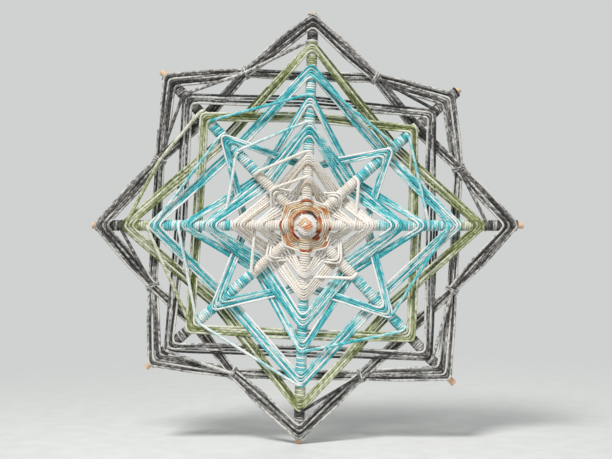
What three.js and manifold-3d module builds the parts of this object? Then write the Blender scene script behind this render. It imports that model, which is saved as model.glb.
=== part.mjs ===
// Ojo de dios: two notched stick crosses, one behind the other, wound with bands of yarn.
// Millimetres. X runs to the right, Z up, and the front faces -Y. The wall is the plane Y = 0.
import * as THREE from 'three';
import { mergeVertices } from 'three/addons/utils/BufferGeometryUtils.js';
import Module from 'manifold-3d';

const wasm = await Module();
wasm.setup();

// Sticks and yarn
const STICK_DIAMETER = 4.5;
const STICK_SIDES = 14;
const END_CHAMFER = 0.35;
const WRAP_THICKNESS = 1.1;
const WRAP_SIDES = 8;
const YARN_DIAMETER = 1.05;
const YARN_SIDES = 4;

// Air between a piece and its seat, between rounds of a band, where yarns cross, and at the wall
const SEAT_GAP = 0.3;
const ROUND_GAP = 0.5;
const CROSSING_GAP = 0.62;
const WALL_GAP = 0.6;

// How much looser than on straight runs the rounds lie in the eye, the flower, the waists and the ties
const EYE_SLACK = 1.55;
const FLOWER_SLACK = 1.1;
const WAIST_SLACK = 1.04;
const TIE_SLACK = 1.25;

// Share of extra depth for yarn that slants steeply behind the back cross
const BACK_EASE = 1.3;

// Centre of the weave
const EYE_START = 1.75;
const EYE_ROUNDS = 4;
const LASH_REACH = 9.2;
const LASH_TAIL = 3;
const FLOWER_START = 12.2;
const FLOWER_ROUNDS = 4;

// Lashing ties on the outermost bands, placed at a share of the weave's reach
const TIE_SHARE = 0.79;
const TIE_TURNS = 2;
const TIE_EASE = 1.15;

const FRONT = 'front';
const BACK = 'back';

const COLOURS = {
  wood: 0xe3b68f,
  white: 0xeceae6,
  orange: 0xcf6a3a,
  cream: 0xe4d9c6,
  turquoise: 0x35b4c3,
  green: 0x8f9a55,
  grey: 0x6a6a67,
};

// Each stick has two spokes. Drift is how far that spoke's weave runs out, and tip the bare end.
const STICKS = [
  {
    name: 'level_stick', cross: FRONT, angle: 0,
    spokes: [{ name: 'right', drift: 0.99, tip: 7.4 }, { name: 'left', drift: 1, tip: 3.6 }],
  },
  {
    name: 'rising_stick', cross: BACK, angle: 41.6,
    spokes: [{ name: 'upper_right', drift: 0.965, tip: 5.2 }, { name: 'lower_left', drift: 1.015, tip: 4.1 }],
  },
  {
    name: 'upright_stick', cross: FRONT, angle: 88,
    spokes: [{ name: 'top', drift: 1, tip: 2.9 }, { name: 'bottom', drift: 1, tip: 6.4 }],
  },
  {
    name: 'falling_stick', cross: BACK, angle: 133.1,
    spokes: [{ name: 'upper_left', drift: 1, tip: 4.3 }, { name: 'lower_right', drift: 1.005, tip: 7.6 }],
  },
];

// Bands from the middle outwards in the order of winding, so each one lies behind those before it.
// Leads are the turns of wrap on the stick below a band. A waist pulls the sides of a band in,
// to that share of the radius of its corners.
const BANDS = [
  { name: 'cream_inner_diamond', cross: FRONT, colour: 'cream', rounds: 3, leads: [['cream', 6]] },
  { name: 'cream_square', cross: BACK, colour: 'cream', rounds: 2, leads: [['cream', 11.1]] },
  { name: 'cream_outer_diamond', cross: FRONT, colour: 'cream', rounds: 5, leads: [['cream', 6]] },
  {
    name: 'turquoise_inner_diamond', cross: FRONT, colour: 'turquoise', rounds: 5, waist: 0.65,
    leads: [['turquoise', 6.5]],
  },
  {
    name: 'turquoise_diagonal_star', cross: BACK, colour: 'turquoise', rounds: 4, waist: 0.51,
    leads: [['cream', 11.5], ['turquoise', 23]],
  },
  {
    name: 'turquoise_upright_star', cross: FRONT, colour: 'turquoise', rounds: 4, waist: 0.615,
    leads: [['turquoise', 5.8]],
  },
  {
    name: 'turquoise_outer_diamond', cross: FRONT, colour: 'turquoise', rounds: 5,
    leads: [['turquoise', 8.7]],
  },
  { name: 'green_square', cross: BACK, colour: 'green', rounds: 4, leads: [['turquoise', 9.6]] },
  { name: 'green_diamond', cross: FRONT, colour: 'green', rounds: 4, leads: [['green', 6.5]] },
  {
    name: 'grey_inner_square', cross: BACK, colour: 'grey', rounds: 4, spread: 1.2,
    leads: [['grey', 5.6]],
  },
  {
    name: 'grey_diamond', cross: FRONT, colour: 'grey', rounds: 5, tied: true,
    leads: [['grey', 7.8]],
  },
  {
    name: 'grey_outer_square', cross: BACK, colour: 'grey', rounds: 5, tied: true,
    leads: [['grey', 6.9]],
  },
];

// Worked out from the sizes above
const STICK_RADIUS = STICK_DIAMETER / 2;
const YARN_RADIUS = YARN_DIAMETER / 2;
const WRAP_BORE = STICK_RADIUS + SEAT_GAP;
const WRAP_RADIUS = WRAP_BORE + WRAP_THICKNESS;
const OVER_STICK = STICK_RADIUS + SEAT_GAP + YARN_RADIUS;
const OVER_WRAP = WRAP_RADIUS + SEAT_GAP + YARN_RADIUS;
const ROUND_STEP = YARN_DIAMETER + ROUND_GAP;
const TIE_STEP = ROUND_STEP * TIE_SLACK;
const EYE_PITCH = ROUND_STEP * EYE_SLACK;
const CROSSING_STEP = YARN_DIAMETER + CROSSING_GAP;
const FLOWER_PITCH = ROUND_STEP * FLOWER_SLACK;
const HUB_RADIUS = FLOWER_START + FLOWER_PITCH * FLOWER_ROUNDS + YARN_DIAMETER;
const BACK_DEPTH = OVER_WRAP * BACK_EASE + YARN_RADIUS + WALL_GAP;
const CROSS_DEPTH = { [BACK]: BACK_DEPTH, [FRONT]: BACK_DEPTH + STICK_DIAMETER + SEAT_GAP };
const LASH_FRONT = CROSS_DEPTH[FRONT] + OVER_STICK;
const LASH_BACK = CROSS_DEPTH[BACK] - OVER_STICK;
const EYE_DEPTH = LASH_FRONT + 2 * CROSSING_STEP;

const part = new THREE.Group();

function radians(degrees) {
  return THREE.MathUtils.degToRad(degrees);
}

// A place on the weave: right and up on the wall, and depth in front of the wall.
function place(right, up, depth) {
  return new THREE.Vector3(right, -depth, up);
}

function onSpoke(angle, radius) {
  return new THREE.Vector2(Math.cos(radians(angle)), Math.sin(radians(angle))).multiplyScalar(radius);
}

function addMesh(name, geometry, colour) {
  const material = new THREE.MeshStandardMaterial({ color: COLOURS[colour], roughness: 0.9, metalness: 0 });
  const mesh = new THREE.Mesh(geometry, material);
  mesh.name = name;
  part.add(mesh);
  return mesh;
}

// A closed tube of flat sides along a broken line, mitred at each bend.
function yarnTube(points) {
  const positions = [];
  const triangles = [];
  let ahead = points[1].clone().sub(points[0]).normalize();
  const aside = new THREE.Vector3(0, 1, 0);
  if (Math.abs(ahead.y) > 0.9) {
    aside.set(1, 0, 0);
  }
  aside.addScaledVector(ahead, -aside.dot(ahead)).normalize();
  const across = new THREE.Vector3().crossVectors(ahead, aside);
  let ring = [];
  for (let side = 0; side < YARN_SIDES; side += 1) {
    const turn = (2 * Math.PI * side) / YARN_SIDES;
    const spot = aside.clone().multiplyScalar(Math.cos(turn) * YARN_RADIUS);
    ring.push(spot.addScaledVector(across, Math.sin(turn) * YARN_RADIUS));
  }
  points.forEach((point, index) => {
    const next = points[index + 1];
    const onward = next ? next.clone().sub(point).normalize() : ahead.clone();
    const mitre = ahead.clone().add(onward).normalize();
    ring = ring.map((spot) => spot.clone().addScaledVector(ahead, -spot.dot(mitre) / ahead.dot(mitre)));
    ring.forEach((spot) => positions.push(...spot.clone().add(point).toArray()));
    ring = ring.map((spot) => spot.clone().addScaledVector(onward, -spot.dot(onward)));
    ahead = onward;
  });
  for (let step = 0; step < points.length - 1; step += 1) {
    for (let side = 0; side < YARN_SIDES; side += 1) {
      const here = step * YARN_SIDES + side;
      const beside = step * YARN_SIDES + ((side + 1) % YARN_SIDES);
      triangles.push(here, beside, beside + YARN_SIDES);
      triangles.push(here, beside + YARN_SIDES, here + YARN_SIDES);
    }
  }
  const last = (points.length - 1) * YARN_SIDES;
  for (let side = 1; side < YARN_SIDES - 1; side += 1) {
    triangles.push(0, side + 1, side);
    triangles.push(last, last + side, last + side + 1);
  }
  const geometry = new THREE.BufferGeometry();
  geometry.setAttribute('position', new THREE.Float32BufferAttribute(positions, 3));
  geometry.setIndex(triangles);
  return geometry;
}

// Least clear gap between stretches of one yarn that lie apart along it, measured on points.
function leastSelfGap(points) {
  const stepLength = YARN_DIAMETER / 2;
  const samples = [];
  let travelled = 0;
  for (let index = 0; index < points.length - 1; index += 1) {
    const length = points[index].distanceTo(points[index + 1]);
    const steps = Math.max(1, Math.round(length / stepLength));
    for (let step = 0; step < steps; step += 1) {
      const spot = points[index].clone().lerp(points[index + 1], step / steps);
      samples.push({ spot, travelled: travelled + (length * step) / steps });
    }
    travelled += length;
  }
  let least = Infinity;
  samples.forEach((first, index) => {
    for (let other = index + 1; other < samples.length; other += 1) {
      const second = samples[other];
      if (second.travelled - first.travelled > 4 * YARN_DIAMETER) {
        least = Math.min(least, first.spot.distanceToSquared(second.spot));
      }
    }
  });
  return Math.sqrt(least) - YARN_DIAMETER;
}

function addYarn(name, points, colour) {
  addMesh(name, yarnTube(points), colour);
  console.log(`${name}: least gap to itself ${leastSelfGap(points).toFixed(2)} mm`);
}

function solidFrom(geometry, matrix) {
  const bare = geometry.clone().applyMatrix4(matrix);
  bare.deleteAttribute('normal');
  bare.deleteAttribute('uv');
  const merged = mergeVertices(bare, 1e-4);
  return new wasm.Manifold(new wasm.Mesh({
    numProp: 3,
    vertProperties: new Float32Array(merged.attributes.position.array),
    triVerts: new Uint32Array(merged.index.array),
  }));
}

function geometryFrom(solid) {
  const mesh = solid.getMesh();
  const geometry = new THREE.BufferGeometry();
  geometry.setAttribute('position', new THREE.BufferAttribute(mesh.vertProperties, 3));
  geometry.setIndex(new THREE.BufferAttribute(mesh.triVerts, 1));
  return geometry;
}

// Turns a shape that was made along +Y so that it runs along a spoke, at its cross's depth.
function spokeMatrix(angle, cross) {
  const matrix = new THREE.Matrix4().makeTranslation(0, -CROSS_DEPTH[cross], 0);
  matrix.multiply(new THREE.Matrix4().makeRotationY(-radians(angle)));
  return matrix.multiply(new THREE.Matrix4().makeRotationZ(-Math.PI / 2));
}

// Pitch along the spoke that keeps the rounds apart where they slant away from it.
function bandPitch(band) {
  const waist = (band.waist ?? Math.SQRT1_2) * band.start * Math.SQRT1_2;
  const slant = Math.atan2(waist, band.start - waist);
  return (ROUND_STEP * (band.spread ?? 1)) / Math.sin(slant);
}

// Bands along the spokes of a cross: where each one starts, and which colour wraps which stretch.
function layOut(cross) {
  const runs = [];
  let reach = HUB_RADIUS + SEAT_GAP;
  const advance = (colour, length) => {
    const last = runs[runs.length - 1];
    if (last && last.colour === colour) {
      last.end = reach + length;
    } else {
      runs.push({ colour, start: reach, end: reach + length });
    }
    reach += length;
  };
  BANDS.filter((band) => band.cross === cross).forEach((band) => {
    band.leads.forEach(([colour, turns]) => advance(colour, turns * WRAP_THICKNESS));
    band.start = reach;
    advance(band.colour, YARN_DIAMETER + bandPitch(band) * (band.rounds - 0.25));
  });
  return { runs, reach };
}

const LAYOUT = { [FRONT]: layOut(FRONT), [BACK]: layOut(BACK) };
const TIE_RADIUS = TIE_SHARE * LAYOUT[BACK].reach;
const SPOKES = STICKS.flatMap((stick) => stick.spokes.map((spoke, end) => ({
  ...spoke,
  cross: stick.cross,
  angle: stick.angle + 180 * end,
  reach: LAYOUT[stick.cross].reach * spoke.drift + spoke.tip,
}))).sort((first, second) => first.angle - second.angle);

// Sticks, each half-lapped into the other stick of its cross
function stickSolid(stick) {
  const [head, tail] = stick.spokes.map((spoke) => LAYOUT[stick.cross].reach * spoke.drift + spoke.tip);
  const profile = [
    new THREE.Vector2(0, -tail),
    new THREE.Vector2(STICK_RADIUS - END_CHAMFER, -tail),
    new THREE.Vector2(STICK_RADIUS, -tail + END_CHAMFER),
    new THREE.Vector2(STICK_RADIUS, head - END_CHAMFER),
    new THREE.Vector2(STICK_RADIUS - END_CHAMFER, head),
    new THREE.Vector2(0, head),
  ];
  return solidFrom(new THREE.LatheGeometry(profile, STICK_SIDES), spokeMatrix(stick.angle, stick.cross));
}

function addStick(stick) {
  const mate = STICKS.find((other) => other.cross === stick.cross && other !== stick);
  const notchFront = STICKS.indexOf(stick) < STICKS.indexOf(mate);
  const width = STICK_DIAMETER + 2 * SEAT_GAP;
  const notch = new THREE.BoxGeometry(width, width, 2 * STICK_DIAMETER);
  const matrix = spokeMatrix(mate.angle, stick.cross);
  const shift = width / 2 - SEAT_GAP / 2;
  const lift = new THREE.Matrix4().makeTranslation(0, notchFront ? -shift : shift, 0);
  const turned = new THREE.Matrix4().makeRotationX(Math.PI / 2);
  const cutter = solidFrom(notch, lift.multiply(matrix).multiply(turned));
  addMesh(stick.name, geometryFrom(stickSolid(stick).subtract(cutter)), 'wood');
}

// Yarn wrapped round the sticks, one sleeve for each run of a colour
function addWraps(spoke) {
  LAYOUT[spoke.cross].runs.forEach((run) => {
    const start = run.start * spoke.drift + SEAT_GAP / 2;
    const end = run.end * spoke.drift - SEAT_GAP / 2;
    const profile = [
      new THREE.Vector2(WRAP_BORE, start),
      new THREE.Vector2(WRAP_RADIUS, start),
      new THREE.Vector2(WRAP_RADIUS, end),
      new THREE.Vector2(WRAP_BORE, end),
      new THREE.Vector2(WRAP_BORE, start),
    ];
    const sleeve = new THREE.LatheGeometry(profile, WRAP_SIDES);
    const geometry = geometryFrom(solidFrom(sleeve, spokeMatrix(spoke.angle, spoke.cross)));
    addMesh(`${run.colour}_wrap_${spoke.name}`, geometry, run.colour);
  });
}

// Where two plan stretches cross, as shares of their lengths, or null.
function crossing(from, to, other) {
  const along = to.clone().sub(from);
  const across = other.to.clone().sub(other.from);
  const area = along.cross(across);
  if (Math.abs(area) < 1e-6) {
    return null;
  }
  const offset = other.from.clone().sub(from);
  const share = offset.cross(across) / area;
  const otherShare = offset.cross(along) / area;
  const inside = share > 0 && share < 1 && otherShare > 0 && otherShare < 1;
  return inside ? { share, otherShare } : null;
}

// The taut line below all limits: the lower hull of its two ends and the limits between them.
function tautLine(limits) {
  const sorted = [...limits].sort((first, second) => first.along - second.along);
  const hull = [];
  sorted.forEach((limit) => {
    while (hull.length > 1) {
      const [before, last] = hull.slice(-2);
      const rise = (last.depth - before.depth) * (limit.along - before.along);
      if (rise < (limit.depth - before.depth) * (last.along - before.along)) {
        break;
      }
      hull.pop();
    }
    hull.push(limit);
  });
  return hull;
}

// One bend for a taut line that has several: where its first and last stretches would meet.
function singleBend(hull) {
  if (hull.length < 4) {
    return hull;
  }
  const [start, second] = hull;
  const [third, end] = hull.slice(-2);
  const fall = (second.depth - start.depth) / (second.along - start.along);
  const ease = (end.depth - third.depth) / (end.along - third.along);
  const along = (end.depth - start.depth + fall * start.along - ease * end.along) / (fall - ease);
  return [start, { along, depth: start.depth + fall * (along - start.along) }, end];
}

const laidYarn = [];

// Limits that yarn already laid sets along a plan route: new yarn passes behind it.
function crossingLimits(route) {
  const limits = [];
  let travelled = 0;
  for (let index = 0; index < route.length - 1; index += 1) {
    const length = route[index].distanceTo(route[index + 1]);
    laidYarn.forEach((other) => {
      const meeting = crossing(route[index], route[index + 1], other);
      if (meeting) {
        const depth = THREE.MathUtils.lerp(other.fromDepth, other.toDepth, meeting.otherShare);
        limits.push({ along: travelled + length * meeting.share, depth: depth - CROSSING_STEP });
      }
    });
    travelled += length;
  }
  return { limits, length: travelled };
}

function pointOnRoute(route, along, depth) {
  let left = along;
  for (let index = 0; index < route.length - 1; index += 1) {
    const length = route[index].distanceTo(route[index + 1]);
    if (left <= length || index === route.length - 2) {
      const spot = route[index].clone().lerp(route[index + 1], left / length);
      return place(spot.x, spot.y, depth);
    }
    left -= length;
  }
  return null;
}

function depthAt(hull, along) {
  const index = hull.findIndex((knot) => knot.along >= along);
  const after = hull[Math.max(index, 1)];
  const before = hull[Math.max(index, 1) - 1];
  const share = (along - before.along) / (after.along - before.along);
  return THREE.MathUtils.lerp(before.depth, after.depth, share);
}

// Half a side of a band: over its own spoke at the corner, behind the other cross at the far end.
function halfSide(route, cornerAngle, frontDepth, farDepth) {
  const { limits, length } = crossingLimits(route);
  const start = { along: 0, depth: frontDepth };
  const hull = singleBend(tautLine([start, ...limits, { along: length, depth: farDepth }]));
  const firstLength = route[0].distanceTo(route[1]);
  const leaving = route[1].clone().sub(route[0]).angle() - radians(cornerAngle);
  const slant = Math.abs(Math.sin(leaving));
  const fall = Math.atan2(frontDepth - hull[1].depth, hull[1].along * slant);
  const shoulder = (OVER_WRAP * Math.tan(fall / 2)) / slant;
  const knots = [{ along: shoulder, depth: frontDepth }, ...hull.slice(1)];
  if (route.length > 2) {
    const atTie = { along: firstLength, depth: depthAt(knots, firstLength) };
    const clear = knots.filter((knot) => Math.abs(knot.along - firstLength) > YARN_RADIUS);
    const bent = [...clear, atTie].sort((first, second) => first.along - second.along);
    return bent.map((knot) => pointOnRoute(route, knot.along, knot.depth));
  }
  return knots.map((knot) => pointOnRoute(route, knot.along, knot.depth));
}

// How deep the far end of a half side lies, clear of the spoke that it passes behind.
function endDepth(routes, frontDepth, spokeDepth) {
  const depths = routes.flatMap((route) => {
    const { limits, length } = crossingLimits(route);
    const fall = Math.atan2(frontDepth - spokeDepth + OVER_WRAP, length - OVER_WRAP / 2);
    return [spokeDepth - OVER_WRAP / Math.cos(fall), ...limits.map((limit) => limit.depth)];
  });
  return Math.min(...depths);
}

// Plan of one band: corners on its own spokes, middles on the other cross's spokes.
function bandPlan(band) {
  const own = SPOKES.filter((spoke) => spoke.cross === band.cross);
  const other = SPOKES.filter((spoke) => spoke.cross !== band.cross);
  const pitch = bandPitch(band);
  const otherFor = (index) => other[(index + (band.cross === FRONT ? 0 : 1) + 4) % 4];
  const corner = (index) => {
    const spoke = own[(index + 4) % 4];
    const radius = (band.start + YARN_RADIUS + (pitch * index) / 4) * spoke.drift;
    return onSpoke(spoke.angle, radius);
  };
  const middle = (index) => {
    const spoke = otherFor(index);
    if (band.waist) {
      const spread = (ROUND_STEP * WAIST_SLACK * (index + 0.5)) / 4;
      return onSpoke(spoke.angle, band.waist * band.start + spread);
    }
    const from = corner(index);
    const along = corner(index + 1).sub(from);
    const ray = onSpoke(spoke.angle, 1);
    const share = -from.cross(ray) / along.cross(ray);
    return from.addScaledVector(along, share);
  };
  const tie = (index, half) => {
    const angle = angleBetween(own[(index + 4) % 4], otherFor(half < 0 ? index - 1 : index));
    const offset = (Math.floor(index / 4) - (band.rounds - 1) / 2) * TIE_STEP;
    return onSpoke(angle, TIE_RADIUS + offset);
  };
  return { own, corner, middle, tie };
}

// The direction half way from one spoke to a neighbour on either side of it.
function angleBetween(first, second) {
  const turn = ((second.angle - first.angle + 540) % 360) - 180;
  return first.angle + turn / 2;
}

// One unbroken yarn for each band, laid behind the bands before it.
function bandPoints(band) {
  const { own, corner, middle, tie } = bandPlan(band);
  const otherCross = band.cross === FRONT ? BACK : FRONT;
  const frontDepth = CROSS_DEPTH[band.cross] + OVER_WRAP;
  const spokeDepth = CROSS_DEPTH[otherCross];
  const corners = 4 * band.rounds;
  const routeFor = (index, half) => {
    const end = middle(half < 0 ? index - 1 : index);
    return band.tied ? [corner(index), tie(index, half), end] : [corner(index), end];
  };
  const endDepths = [];
  for (let index = -1; index < corners; index += 1) {
    endDepths.push(endDepth([routeFor(index, 1), routeFor(index + 1, -1)], frontDepth, spokeDepth));
  }
  const points = [];
  for (let index = 0; index < corners; index += 1) {
    const angle = own[index % 4].angle;
    const arriving = halfSide(routeFor(index, -1), angle, frontDepth, endDepths[index]);
    const leaving = halfSide(routeFor(index, 1), angle, frontDepth, endDepths[index + 1]);
    points.push(...arriving.reverse().slice(index > 0 ? 1 : 0), ...leaving);
  }
  return points;
}

function layYarn(points) {
  for (let index = 0; index < points.length - 1; index += 1) {
    const from = points[index];
    const to = points[index + 1];
    laidYarn.push({
      from: new THREE.Vector2(from.x, from.z),
      to: new THREE.Vector2(to.x, to.z),
      fromDepth: -from.y,
      toDepth: -to.y,
    });
  }
}

// Eye: a small square spiral over the hub lashing
function eyePoints() {
  const own = SPOKES.filter((spoke) => spoke.cross === FRONT);
  const points = [];
  for (let index = 0; index <= 4 * EYE_ROUNDS; index += 1) {
    const radius = EYE_START + (EYE_PITCH * index) / 4;
    const spot = onSpoke(own[index % 4].angle, radius);
    points.push(place(spot.x, spot.y, EYE_DEPTH));
  }
  return points;
}

// Flower: rounds that pass over the front of all eight spokes
function flowerPoints() {
  const points = [];
  const fall = Math.atan2(CROSS_DEPTH[FRONT] - CROSS_DEPTH[BACK], FLOWER_START * Math.SQRT1_2);
  const shoulder = OVER_STICK * Math.tan(fall / 2);
  for (let index = 0; index < SPOKES.length * FLOWER_ROUNDS; index += 1) {
    const spoke = SPOKES[index % SPOKES.length];
    const radius = FLOWER_START + (FLOWER_PITCH * index) / SPOKES.length;
    const depth = CROSS_DEPTH[spoke.cross] + OVER_STICK;
    const sides = spoke.cross === FRONT ? [-1, 1] : [0];
    sides.forEach((side) => {
      const aside = onSpoke(spoke.angle + 90, shoulder * side);
      const spot = onSpoke(spoke.angle, radius).add(aside);
      points.push(place(spot.x, spot.y, depth));
    });
  }
  return points;
}

// Hub lashing: two loops at right angles that bind the front cross to the back one
function lashPoints() {
  const first = angleBetween(SPOKES[0], SPOKES[1]);
  const second = angleBetween(SPOKES[2], SPOKES[3]);
  const at = (angle, radius, depth) => {
    const spot = onSpoke(angle, radius);
    return place(spot.x, spot.y, depth);
  };
  const innerBack = LASH_BACK;
  const outerBack = LASH_BACK - CROSSING_STEP;
  const outerFront = LASH_FRONT + CROSSING_STEP;
  return [
    at(first + 180, LASH_TAIL, innerBack),
    at(first, LASH_REACH, innerBack),
    at(first, LASH_REACH, LASH_FRONT),
    at(first + 180, LASH_REACH, LASH_FRONT),
    at(first + 180, LASH_REACH, outerBack),
    at(second + 180, LASH_REACH, outerBack),
    at(second + 180, LASH_REACH, outerFront),
    at(second, LASH_REACH, outerFront),
    at(second, LASH_REACH, outerBack),
    at(second, LASH_TAIL, outerBack),
  ];
}

// Tie: turns of yarn round the place where the two outermost bands cross
function tiePoints(angle, depths, halfWidth) {
  const front = Math.max(...depths) + YARN_DIAMETER + TIE_EASE;
  const back = Math.min(...depths) - YARN_DIAMETER - TIE_EASE;
  const centre = (front + back) / 2;
  const halfDepth = (front - back) / 2;
  const width = halfWidth + YARN_DIAMETER + TIE_EASE;
  const cut = YARN_DIAMETER;
  const section = [
    [width, halfDepth / 2], [width - cut, halfDepth], [cut - width, halfDepth], [-width, halfDepth / 2],
    [-width, -halfDepth / 2], [cut - width, -halfDepth], [width - cut, -halfDepth], [width, -halfDepth / 2],
  ];
  const points = [];
  const count = section.length * TIE_TURNS;
  for (let index = 0; index <= count; index += 1) {
    const [out, depth] = section[index % section.length];
    const along = ROUND_STEP * (index / section.length - TIE_TURNS / 2);
    const spot = onSpoke(angle, TIE_RADIUS + out).add(onSpoke(angle + 90, along));
    points.push(place(spot.x, spot.y, centre + depth));
  }
  return points;
}

function addTies() {
  const tiedBands = BANDS.filter((band) => band.tied);
  const halfWidth = (TIE_STEP * (Math.max(...tiedBands.map((band) => band.rounds)) - 1)) / 2;
  SPOKES.forEach((spoke, index) => {
    const next = SPOKES[(index + 1) % SPOKES.length];
    const angle = angleBetween(spoke, next);
    const centre = onSpoke(angle, TIE_RADIUS);
    const near = tiedBands.flatMap((band) => band.points).filter((point) => (
      Math.hypot(point.x - centre.x, point.z - centre.y) < halfWidth + TIE_STEP
    ));
    const points = tiePoints(angle, near.map((point) => -point.y), halfWidth);
    addYarn(`tie_${spoke.name}_${next.name}`, points, 'grey');
  });
}

STICKS.forEach(addStick);
SPOKES.forEach(addWraps);
addYarn('hub_lashing', lashPoints(), 'cream');
addYarn('eye_winding', eyePoints(), 'white');
addYarn('flower_winding', flowerPoints(), 'orange');
BANDS.forEach((band) => {
  band.points = bandPoints(band);
  layYarn(band.points);
  addYarn(`${band.name}_band`, band.points, band.colour);
});
addTies();

export default part;
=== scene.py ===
"""Looks of an eight-pointed ojo de dios: two stick crosses wound with bands of marled yarn.

Sizes are in millimetres until a mesh is made, which is in metres. X runs to the right, Z up,
and the woven front faces -Y. Depth is the distance in front of the wall, so depth = -Y.
"""

import logging
import math
from dataclasses import dataclass, field
from enum import Enum
from functools import cache

import bpy
import numpy as np
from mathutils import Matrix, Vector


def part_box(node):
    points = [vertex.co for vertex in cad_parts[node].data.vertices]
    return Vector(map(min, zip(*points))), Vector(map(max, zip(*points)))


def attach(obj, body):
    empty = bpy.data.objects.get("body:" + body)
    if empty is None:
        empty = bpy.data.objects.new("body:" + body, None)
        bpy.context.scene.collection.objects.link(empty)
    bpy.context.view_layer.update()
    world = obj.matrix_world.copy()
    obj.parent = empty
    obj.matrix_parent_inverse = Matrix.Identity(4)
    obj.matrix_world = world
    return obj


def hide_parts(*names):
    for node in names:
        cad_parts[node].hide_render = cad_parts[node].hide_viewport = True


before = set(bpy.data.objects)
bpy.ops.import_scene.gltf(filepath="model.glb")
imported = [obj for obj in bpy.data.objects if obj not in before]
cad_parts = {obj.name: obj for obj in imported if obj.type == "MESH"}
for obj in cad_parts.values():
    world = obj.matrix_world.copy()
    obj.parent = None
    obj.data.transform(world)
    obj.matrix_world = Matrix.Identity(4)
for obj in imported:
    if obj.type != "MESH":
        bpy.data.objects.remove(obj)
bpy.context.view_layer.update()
LOG = logging.getLogger("ojo_de_dios")
MM = 0.001
CENTIMETRE = 10.0
TINY = 1e-6

# Sticks, and the depths of their axes
STICK_RADIUS = 2.25
BACK_DEPTH = 6.94
FRONT_DEPTH = 11.74

# Yarn: its size and mesh, its distance from sticks and other yarn, and where the wraps start
YARN_DIAMETER = 1.7
YARN_SIDES = 8
RING_STEP = 1.1
FLECK_SHIFT = 137.3
OVER_WRAP = 4.45
OVER_STICK = 3.1
CROSSING_STEP = 1.5
WRAP_START = 18.6
FRONTAL = (0.0, 1.0, 0.0)

# Bands: the corners of a round, and the ties that gather the two outermost bands
CORNERS = 4
CORNER_SHARE = 0.35
WAIST_SHARE = 0.45
CORNER_FILLET = 2.8
SHOULDER = 2.1
SHOULDER_DROP = 0.6
TIE_STEP = 1.04
TIE_DEPTH = 9.6
SPREAD_AT = 0.55


class Cross(Enum):
    """Which of the two stick crosses a spoke or a band belongs to."""

    FRONT = "front"
    BACK = "back"

    @property
    def depth(self) -> float:
        """Depth of the sticks' axes."""
        return FRONT_DEPTH if self is Cross.FRONT else BACK_DEPTH

    @property
    def other(self) -> "Cross":
        """The other cross."""
        return Cross.BACK if self is Cross.FRONT else Cross.FRONT


class Slot(Enum):
    """Material slots of the part."""

    WOOD = "wood"
    WHITE = "white_yarn"
    ORANGE = "orange_yarn"
    CREAM = "cream_yarn"
    TURQUOISE = "turquoise_yarn"
    GREEN = "green_yarn"
    GREY = "grey_yarn"


def linear(code: str) -> tuple[float, float, float, float]:
    """Turns a written colour into scene-linear values.

    Args:
        code: six hex digits.

    Returns:
        Red, green, blue and alpha.
    """
    parts = [int(code[i:i + 2], 16) / 255 for i in (0, 2, 4)]
    return (*[p / 12.92 if p <= 0.04045 else ((p + 0.055) / 1.055) ** 2.4 for p in parts], 1.0)


def plan(angle: float, radius: float) -> np.ndarray:
    """A point of the weave's plan: right and up from the hub."""
    return radius * np.array([math.cos(math.radians(angle)), math.sin(math.radians(angle))])


def spot(at: np.ndarray, depth: float) -> np.ndarray:
    """A plan point at a depth, as x, y and z."""
    return np.array([at[0], -depth, at[1]])


def seed_of(name: str) -> int:
    """A noise seed worked out from a piece's name."""
    return sum(map(ord, name))


class SmoothNoise:
    """Seeded one-dimensional noise that changes smoothly, from -1 to 1."""

    def __init__(self, seed: int, count: int = 997) -> None:
        """Draws the noise's knots from a seed."""
        self.knots = np.random.default_rng(seed).uniform(-1, 1, count)

    def __call__(self, at: np.ndarray) -> np.ndarray:
        """Reads the noise.

        Args:
            at: places along the noise, one knot per unit.

        Returns:
            The noise at those places.
        """
        at = np.asarray(at, float)
        low = np.floor(at).astype(int)
        share = at - low
        share = share * share * (3 - 2 * share)
        first = self.knots[low % len(self.knots)]
        second = self.knots[(low + 1) % len(self.knots)]
        return first + (second - first) * share


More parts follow.
